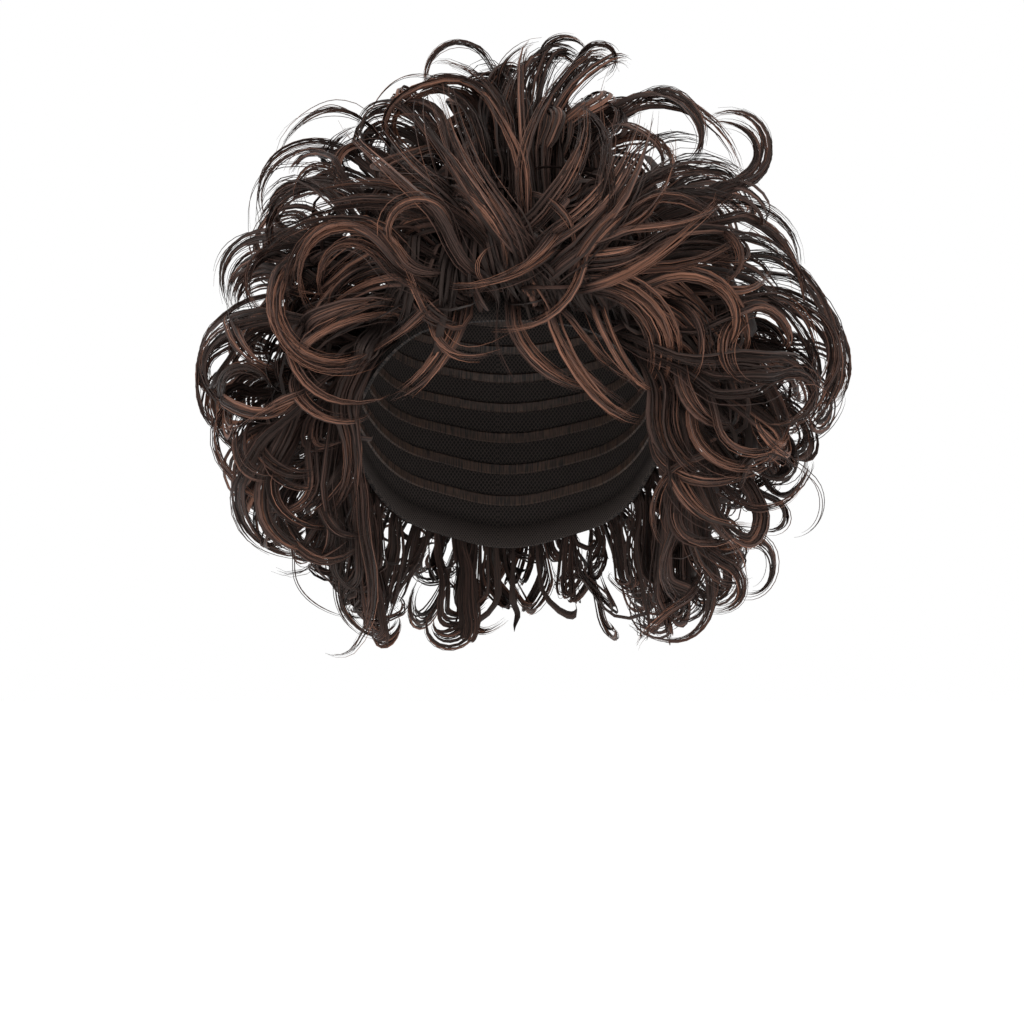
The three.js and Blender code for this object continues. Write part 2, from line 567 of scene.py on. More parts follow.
def rounded(path: Array, passes: int) -> Array:
    """Rounds off the corners of a path, less and less towards its tip.

    Args:
        path: The path's points, one in each row.
        passes: How often each point moves towards the middle of its neighbours.

    Returns:
        The rounded path, with the same ends.
    """
    pull = np.linspace(ROUNDING_PULL, 0.0, len(path) - 2)[:, None]
    for _ in range(passes):
        middle = (path[:-2] + path[2:]) / 2
        path = np.vstack([path[:1], path[1:-1] + pull * (middle - path[1:-1]), path[-1:]])
    return path


def swayed(rng: Rng, path: Array, size: Array, waves: float) -> Array:
    """Bends a line in slow waves.

    Args:
        rng: Where the waves are drawn from.
        path: The line, a point in each row.
        size: How far the waves reach at each point.
        waves: About how many there are along the line.

    Returns:
        The bent line.
    """
    share = np.linspace(0.0, waves, len(path))[:, None]
    phase, pace = rng.uniform(0.0, math.tau, 3), rng.uniform(*SWAY_PACES, 3)
    return path + size[:, None] * np.sin(phase + pace * math.tau * share)


class LockBody(Enum):
    """How full a lock is."""

    UNDER = "one broad ribbon near the cap"
    FILL = "a sheet of ribbons with some strands"
    FULL = "a sheet of finer ribbons with more strands"
    OPEN = "narrow ribbons and strands with gaps between them"
    STRAY = "a few single strands"


@dataclass(frozen=True)
class BodyHabit:
    """How many wisps and strands a lock of one fullness has, and how wide the ribbons of its wisps are.

    The bend is how far a fibre turns in one step, in degrees, as long as the steps last.
    """

    wisps: int
    strands: int
    ribbon_width: Range | None
    bend: float
    most_steps: int = 19


BODIES = {
    LockBody.UNDER: BodyHabit(wisps=1, strands=0, ribbon_width=(2.2 * MM, 4.8 * MM), bend=40.0),
    LockBody.FILL: BodyHabit(wisps=9, strands=4, ribbon_width=(0.9 * MM, 2.6 * MM), bend=23.0),
    LockBody.FULL: BodyHabit(wisps=9, strands=12, ribbon_width=(0.7 * MM, 2.0 * MM), bend=21.0),
    LockBody.OPEN: BodyHabit(
        wisps=5, strands=12, ribbon_width=(0.7 * MM, 1.6 * MM), bend=18.0, most_steps=25
    ),
    LockBody.STRAY: BodyHabit(wisps=1, strands=3, ribbon_width=None, bend=12.0, most_steps=32),
}


@dataclass(frozen=True)
class Lock:
    """One lock of hair along a middle line, with a width along its curl's axis and a depth across that."""

    path: Array
    axis: Array
    width: float
    depth: float
    tone: float
    body: LockBody = LockBody.FULL

    LENGTH_PER_STEP = 45.0 * MM
    FEWEST_STEPS = 8

    def run(self) -> Array:
        """Counts the steps that the middle line's length and bends take.

        Returns:
            The steps up to each point of the line.
        """
        way = np.diff(self.path, axis=0)
        length = np.linalg.norm(way, axis=-1)
        heading = unit(way)
        bend = np.arccos(np.clip(np.sum(heading[1:] * heading[:-1], axis=-1), -1.0, 1.0))
        effort = length / self.LENGTH_PER_STEP
        effort[1:] += np.degrees(bend) / BODIES[self.body].bend
        return np.concatenate([[0.0], np.cumsum(effort)])

    def stem_share(self) -> float:
        """Gives the share of the steps that the stem takes."""
        run = self.run()
        return float(run[STEM_POINTS] / run[-1])

    def spine(self) -> tuple[Array, int]:
        """Carries the curl's axis back along the lock without twisting it.

        Returns:
            The middle line, the unit vectors along the axis and those out from the curl, for each point,
            and how many steps a fibre takes along the line.
        """
        run = self.run()
        even = np.linspace(0.0, run[-1], len(run))
        line = np.stack([np.interp(even, run, column) for column in self.path.T], axis=-1)
        steps = int(np.clip(round(run[-1]) + 1, self.FEWEST_STEPS, BODIES[self.body].most_steps))
        tangents = unit(np.gradient(line, axis=0))
        across = np.empty_like(line)
        side = self.axis
        for step in reversed(range(len(line))):
            side = unit(side - tangents[step] * float(side @ tangents[step]))
            across[step] = side
        return np.stack([line, across, np.cross(tangents, across)], axis=1), steps

    def broad_side(self) -> float:
        """Gives the angle from the curl's axis to the lock's broad side, in radians."""
        return 0.0 if self.width > self.depth else math.pi / 2


class Wander:
    """Smooth random ways of fibres beside a lock's middle line."""

    ROOT_SPREAD = 0.3
    OPEN_FROM = 0.4
    GATHER_FROM = 0.5
    TIP_GATHER = 0.7
    FAN_SPREAD = 0.5
    WAVE_SIZES = (0.3, 1.0)
    WAVE_COUNTS = (0.6, 2.2)

    def __init__(self, rng: Rng, size: Array, fan: float, wave: float) -> None:
        """Draws the ways, spread evenly both along the axis and out from the curl.

        Args:
            rng: Where they are drawn from.
            size: How wide and how deep each one may lie off the line, a row for each.
            fan: How far they spread towards their tips, as a share of the size.
            wave: How far they waver.
        """
        count = len(size)
        place = np.stack([rng.permutation(count), rng.permutation(count)], axis=-1)
        even = (place + rng.uniform(0.0, 1.0, size.shape)) / count - 0.5
        shape = (count, 1, 2)
        self.start = (even * size)[:, None]
        self.fan = rng.normal(0.0, self.FAN_SPREAD, shape) * size[:, None] * fan
        self.wave = rng.uniform(*self.WAVE_SIZES, shape) * wave
        self.phase = rng.uniform(0.0, math.tau, shape)
        self.waves = rng.uniform(*self.WAVE_COUNTS, shape)

    def at(self, along: Array, owner: Array) -> Array:
        """Reads the ways.

        Args:
            along: Shares of the lock's length, as fibres by steps.
            owner: The number of the way that each fibre takes.

        Returns:
            How far each fibre lies along the axis and out from the curl, step by step.
        """
        share = along[..., None]
        opened = self.ROOT_SPREAD + (1.0 - self.ROOT_SPREAD) * smooth_step(0.0, self.OPEN_FROM, share)
        gathered = opened * (1.0 - self.TIP_GATHER * smooth_step(self.GATHER_FROM, 1.0, share))
        wavering = np.sin(self.phase[owner] + self.waves[owner] * math.tau * share) * share
        return self.start[owner] * gathered + self.fan[owner] * share**2 + self.wave[owner] * wavering


@dataclass(frozen=True)
class FibreKind:
    """The form of one kind of fibre. Its roll and twist spread about the broad side, in radians."""

    sides: int
    flatness: float
    root_share: float
    tip_share: float
    tone_spread: float
    roll: float
    twist: float


RIBBON = FibreKind(
    sides=4, flatness=0.3, root_share=0.4, tip_share=0.05, tone_spread=0.20, roll=0.35, twist=0.5
)
STRAND = FibreKind(
    sides=3, flatness=0.9, root_share=0.8, tip_share=0.3, tone_spread=0.28, roll=1.0, twist=0.0
)


class FibreMesh:
    """Gathers closed tapering fibres and makes one mesh of them."""

    FLOW_MAP = "Flow"
    BAKE_MAP = "OFBake"
    STRAND_WIDTH = (0.32 * MM, 0.55 * MM)
    HAIR_PITCH = 0.4 * MM
    HAIR_OFFSETS = 400.0
    CAP_GAP = 0.3 * MM
    WISP_REACH = (0.74, 1.0)
    WISP_FAN = 0.25
    WISP_WAVE = 0.7 * MM
    STRAND_REACH = (0.9, 1.1)
    STRAND_SPREAD = 2.4 * MM
    STRAND_FAN = 0.7
    STRAND_WAVE = 0.5 * MM
    LOOSE_SHARE = 0.2
    LOOSE_SPREAD = 3.2
    CELL_FILL = 0.84
    CELL_ASPECT = 12.0
    CAP_SHARE = 0.05
    # Painted shade towards the roots: how far along the stem it lasts, where the fibre is fully lit, and how
    # light the root is painted.
    DARK_SHARE = 0.7
    LIT_AFTER = 0.16
    ROOT_LIGHT = 0.35
    NARROW_POWER = 1.5
    WIDE_FROM = 0.3
    TAPER_FROM = 0.75
    TONE_LIMITS = (-0.5, 1.0)
    EDGE_COSINE = 0.9
    DISC_RADIUS = 0.4

    def __init__(self, rng: Rng, form: OuterForm) -> None:
        """Starts with no fibres.

        Args:
            rng: Where the fibres' differences are drawn from.
            form: The outer form of the hair, and the dome that it lies on.
        """
        self.rng = rng
        self.form = form
        self.points: list[Array] = []
        self.faces: list[Array] = []
        self.flow: list[Array] = []
        self.cell: list[tuple[Array, Array]] = []
        self.shaded_tones: list[Array] = []
        self.shaded_rises: list[Array] = []
        self.edges: list[Array] = []
        self.vertex_count = 0
        self.fibre_count = 0

    def add_lock(self, lock: Lock) -> None:
        """Adds a lock's ribbons and strands.

        Args:
            lock: The lock.
        """
        rng, habit = self.rng, BODIES[lock.body]
        spine, steps = lock.spine()
        run = np.linspace(0.0, 1.0, steps)
        size = np.tile([lock.width, lock.depth], (habit.wisps, 1))
        bunch = Wander(rng, size, self.WISP_FAN, self.WISP_WAVE)
        reach = rng.uniform(*self.WISP_REACH, habit.wisps)
        if habit.ribbon_width is not None:
            owner = np.arange(habit.wisps)
            along = reach[:, None] * run
            narrow, broad = habit.ribbon_width
            width = narrow + (broad - narrow) * rng.uniform(0.0, 1.0, habit.wisps) ** self.NARROW_POWER
            self._add_fibres(lock, RIBBON, spine, along, bunch.at(along, owner), width)
        if not habit.strands:
            return
        owner = np.arange(habit.strands) % habit.wisps
        along = np.minimum(reach[owner] * rng.uniform(*self.STRAND_REACH, len(owner)), 1.0)
        along = along[:, None] * run
        loose = np.where(rng.random(len(owner)) < self.LOOSE_SHARE, self.LOOSE_SPREAD, 1.0)
        spread = np.repeat(loose[:, None] * self.STRAND_SPREAD, 2, axis=1)
        own = Wander(rng, spread, self.STRAND_FAN, self.STRAND_WAVE)
        offset = bunch.at(along, owner) + own.at(along, np.arange(len(owner)))
        self._add_fibres(lock, STRAND, spine, along, offset, rng.uniform(*self.STRAND_WIDTH, len(owner)))

    def _add_fibres(
        self, lock: Lock, kind: FibreKind, spine: Array, along: Array, offset: Array, width: Array
    ) -> None:
        """Lays fibres of one kind along a lock.

        Args:
            lock: The lock that they belong to.
            kind: Their form.
            spine: The lock's middle line and its directions.
            along: Shares of the spine, as fibres by steps.
            offset: How far they lie along the axis and out from the curl, as fibres by steps by two.
            width: The width of each one.
        """
        count, steps = along.shape
        at = along * (len(spine) - 1)
        low = np.minimum(at.astype(int), len(spine) - 2)
        part = (at - low)[..., None, None]
        read = spine[low] * (1.0 - part) + spine[low + 1] * part
        side, out = unit(read[:, :, 1]), unit(read[:, :, 2])
        centre, rise = self._laid(read[:, :, 0] + side * offset[..., :1] + out * offset[..., 1:], width)
        share = np.linspace(0.0, 1.0, steps)
        roll = lock.broad_side() + self.rng.normal(0.0, kind.roll, (count, 1))
        roll = (roll + self.rng.normal(0.0, kind.twist, (count, 1)) * share)[..., None]
        wide = side * np.cos(roll) + out * np.sin(roll)
        thick = out * np.cos(roll) - side * np.sin(roll)
        taper = kind.root_share + (1.0 - kind.root_share) * smooth_step(0.0, self.WIDE_FROM, share)
        taper *= 1.0 - (1.0 - kind.tip_share) * smooth_step(self.TAPER_FROM, 1.0, share)
        half_width = 0.5 * width[:, None, None] * taper[:, None]
        tone = np.clip(lock.tone + self.rng.normal(0.0, kind.tone_spread, count), *self.TONE_LIMITS)
        self._add_maps(kind, width / self.HAIR_PITCH, centre)
        self._add_tubes(kind, centre, wide * half_width, thick * half_width)
        # Painted shade: tone and rise are darkened along the stem, so the roots read as shaded and the curl
        # as lit.
        stem = lock.stem_share()
        lit = smooth_step(self.DARK_SHARE * stem, stem + self.LIT_AFTER, along)
        light = self.ROOT_LIGHT + (1.0 - self.ROOT_LIGHT) * lit
        self.shaded_tones.append(np.repeat((tone[:, None] * light).ravel(), kind.sides))
        self.shaded_rises.append(np.repeat(rise * light.ravel(), kind.sides))

    def _laid(self, centre: Array, width: Array) -> tuple[Array, Array]:
        """Keeps fibres out of the cap's wall and tells how far out in the hair they lie.

        Args:
            centre: Middle lines, as fibres by steps by three.
            width: The width of each fibre.

        Returns:
            The middle lines, and the height of each of their points as a share of the hair's height there.
        """
        dome, flat = self.form.dome, centre.reshape(-1, 3)
        azimuth, polar, lift = dome.place_of(flat)
        least = dome.wall + self.CAP_GAP + 0.5 * np.repeat(width, centre.shape[1])
        raised = np.maximum(least - lift, 0.0)
        laid = flat + dome.normal(azimuth, polar) * raised[:, None]
        # The rise feeds the hair's painted shade: the deeper a fibre lies, the darker its colour is painted.
        rise = (lift + raised) / np.maximum(self.form.height(azimuth, polar), least)
        return laid.reshape(centre.shape), rise

    def _add_tubes(self, kind: FibreKind, centre: Array, wide: Array, thick: Array) -> None:
        """Adds closed tubes round middle lines.

        Args:
            kind: The form of the fibres.
            centre: Middle lines, as fibres by steps by three.
            wide: Half widths as vectors, laid out like centre.
            thick: Vectors of the same length across the width, laid out like centre.
        """
        (count, steps), sides = centre.shape[:2], kind.sides
        angle = np.arange(sides) * math.tau / sides
        ring = (
            centre[:, :, None]
            + wide[:, :, None] * np.cos(angle)[:, None]
            + thick[:, :, None] * (np.sin(angle) * kind.flatness)[:, None]
        )
        index = self.vertex_count + np.arange(count * steps * sides).reshape(count, steps, sides)
        following = np.roll(index, -1, axis=2)
        walls = np.stack([index[:, :-1], following[:, :-1], following[:, 1:], index[:, 1:]], axis=-1)
        self.points.append(ring.reshape(-1, 3))
        at_edge = np.abs(np.cos(angle)) > self.EDGE_COSINE
        self.edges.append(np.tile(at_edge, count * steps) & (kind is RIBBON))
        self.faces += [walls.reshape(-1, 4), index[:, 0, ::-1], index[:, -1, :]]
        self.vertex_count += count * steps * sides
        self.fibre_count += count

    def _add_maps(self, kind: FibreKind, hairs: Array, centre: Array) -> None:
        """Adds both maps' corners for the faces of some tubes, in the order of the faces.

        Args:
            kind: The form of the fibres.
            hairs: How many hairs lie across each fibre.
            centre: The fibres' middle lines, as fibres by steps by three.
        """
        (count, steps), sides = centre.shape[:2], kind.sides
        length = np.linalg.norm(np.diff(centre, axis=1), axis=-1)
        run = np.concatenate([np.zeros((count, 1)), np.cumsum(length, axis=1)], axis=1) / MM
        first_hair = self.rng.uniform(0.0, self.HAIR_OFFSETS, count)
        turn = np.arange(sides)
        row = np.arange(steps - 1)
        corner_side = np.stack([turn, turn + 1, turn + 1, turn], axis=-1)
        corner_row = np.stack([row, row, row + 1, row + 1], axis=-1)
        shape = (count, steps - 1, sides, 4)
        fold = 1.0 - np.abs(2.0 * corner_side / sides - 1.0)
        across = (first_hair[:, None, None] + fold * hairs[:, None, None])[:, None]
        down = run[:, corner_row][:, :, None, :]
        walls = np.stack([np.broadcast_to(across, shape), np.broadcast_to(down, shape)], axis=-1)
        ends = [
            np.repeat(np.stack([first_hair, run[:, at]], axis=-1)[:, None], sides, axis=1) for at in (0, -1)
        ]
        self.flow += [walls.reshape(-1, 2), ends[0].reshape(-1, 2), ends[1].reshape(-1, 2)]
        fibre = self.fibre_count + np.arange(count)
        u = np.broadcast_to(corner_side / sides, shape)
        body = 1.0 - 2.0 * self.CAP_SHARE
        v = self.CAP_SHARE + body * np.broadcast_to((corner_row / (steps - 1))[:, None], shape)
        owner = np.broadcast_to(fibre[:, None, None, None], shape)
        self.cell.append((owner.reshape(-1), np.stack([u, v], axis=-1).reshape(-1, 2)))
        angle = turn * math.tau / sides
        disc = 0.5 + self.DISC_RADIUS * np.stack([np.cos(angle), np.sin(angle)], axis=-1)
        for low in (0.0, 1.0 - self.CAP_SHARE):
            place = np.broadcast_to(disc * (1.0, self.CAP_SHARE) + (0.0, low), (count, sides, 2))
            self.cell.append((np.repeat(fibre, sides), place.reshape(-1, 2)))

    def _bake_corners(self) -> Array:
        """Shares the bake map out, so that each fibre has a strip of its own.

        Returns:
            The map's corners, in the order of the faces.
        """
        columns = math.ceil(math.sqrt(self.fibre_count * self.CELL_ASPECT))
        rows = math.ceil(self.fibre_count / columns)
        owner = np.concatenate([fibre for fibre, _ in self.cell])
        place = np.concatenate([spot for _, spot in self.cell])
        inset = 0.5 + (place - 0.5) * self.CELL_FILL
        corner = np.stack([owner % columns, owner // columns], axis=-1)
        return (corner + inset) / (columns, rows)

    def make(self, name: str) -> bpy.types.Object:
        """Makes the gathered fibres one object.

        Args:
            name: The object's name.

        Returns:
            An object at the origin, with both maps and the attributes tone and rise, which carry painted
            shade.
        """
        mesh = bpy.data.meshes.new(name)
        faces = [face for rows in self.faces for face in rows.tolist()]
        mesh.from_pydata(np.concatenate(self.points), [], faces)
        mesh.shade_smooth()
        for map_name, corners in (
            (self.FLOW_MAP, np.concatenate(self.flow)),
            (self.BAKE_MAP, self._bake_corners()),
        ):
            layer = mesh.uv_layers.new(name=map_name)
            layer.uv.foreach_set("vector", corners.astype(np.float32).ravel())
        for attribute, values in (("tone", self.shaded_tones), ("rise", self.shaded_rises)):
            layer = mesh.attributes.new(attribute, "FLOAT", "POINT")
            layer.data.foreach_set("value", np.concatenate(values).astype(np.float32))
        self._crease(mesh)
        return new_object(name, mesh)

    def _crease(self, mesh: bpy.types.Mesh) -> None:
        """Makes the long edges of the ribbons sharp, so that they shade as flat bands.

        Args:
            mesh: The mesh of all the fibres.
        """
        ends = np.empty(len(mesh.edges) * 2, dtype=np.int32)
        mesh.edges.foreach_get("vertices", ends)
        low, high = np.sort(ends.reshape(-1, 2), axis=1).T
        sharp = np.concatenate(self.edges)[low] & (high - low == RIBBON.sides)
        layer = mesh.attributes.new("sharp_edge", "BOOLEAN", "EDGE")
        layer.data.foreach_set("value", sharp)


@dataclass(frozen=True)
class SeenLock:
    """A lock as it shows from the front: an arc through three pixels of the photograph, and a curled end.

    Band is the lock's breadth across the arc. The end curls on by some degrees, or back if negative.
    Proud is how far the lock lies outside the outer form.
    """

    begin: Pixel
    through: Pixel
    end: Pixel
    band: float
    tone: float
    body: LockBody = LockBody.FULL
    curl_degrees: float = 40.0
    proud: float = 2.0 * MM

    STEPS = 46
    CURL_RADIUS = 20.0

    def pixels(self) -> Array:
        """Gives the lock's way over the photograph.

        Returns:
            Pixels from its beginning to its tip, one in each row.
        """
        begin, through, end = (complex(*pixel) for pixel in (self.begin, self.through, self.end))
        ratio = (end - begin) / (through - begin)
        middle = begin + (through - begin) * (ratio - abs(ratio) ** 2) / (2j * ratio.imag)
        hand = math.copysign(1.0, ratio.imag)
        radius = abs(begin - middle)
        sweep = hand * np.angle((end - middle) / (begin - middle)) % math.tau
        arc = radius * sweep
        curl_radius = min(radius, self.CURL_RADIUS)
        curl = curl_radius * math.radians(abs(self.curl_degrees))
        run = np.linspace(0.0, arc + curl, self.STEPS)
        bend = math.copysign(1.0, self.curl_degrees) / curl_radius
        turned = hand * (np.minimum(run, arc) / radius + np.maximum(run - arc, 0.0) * bend)
        heading = 1j * hand * (begin - middle) / radius
        steps = np.diff(run) * heading * np.exp(0.5j * (turned[1:] + turned[:-1]))
        way = begin + np.concatenate([[0.0], np.cumsum(steps)])
        return np.stack([way.real, way.imag], axis=-1)


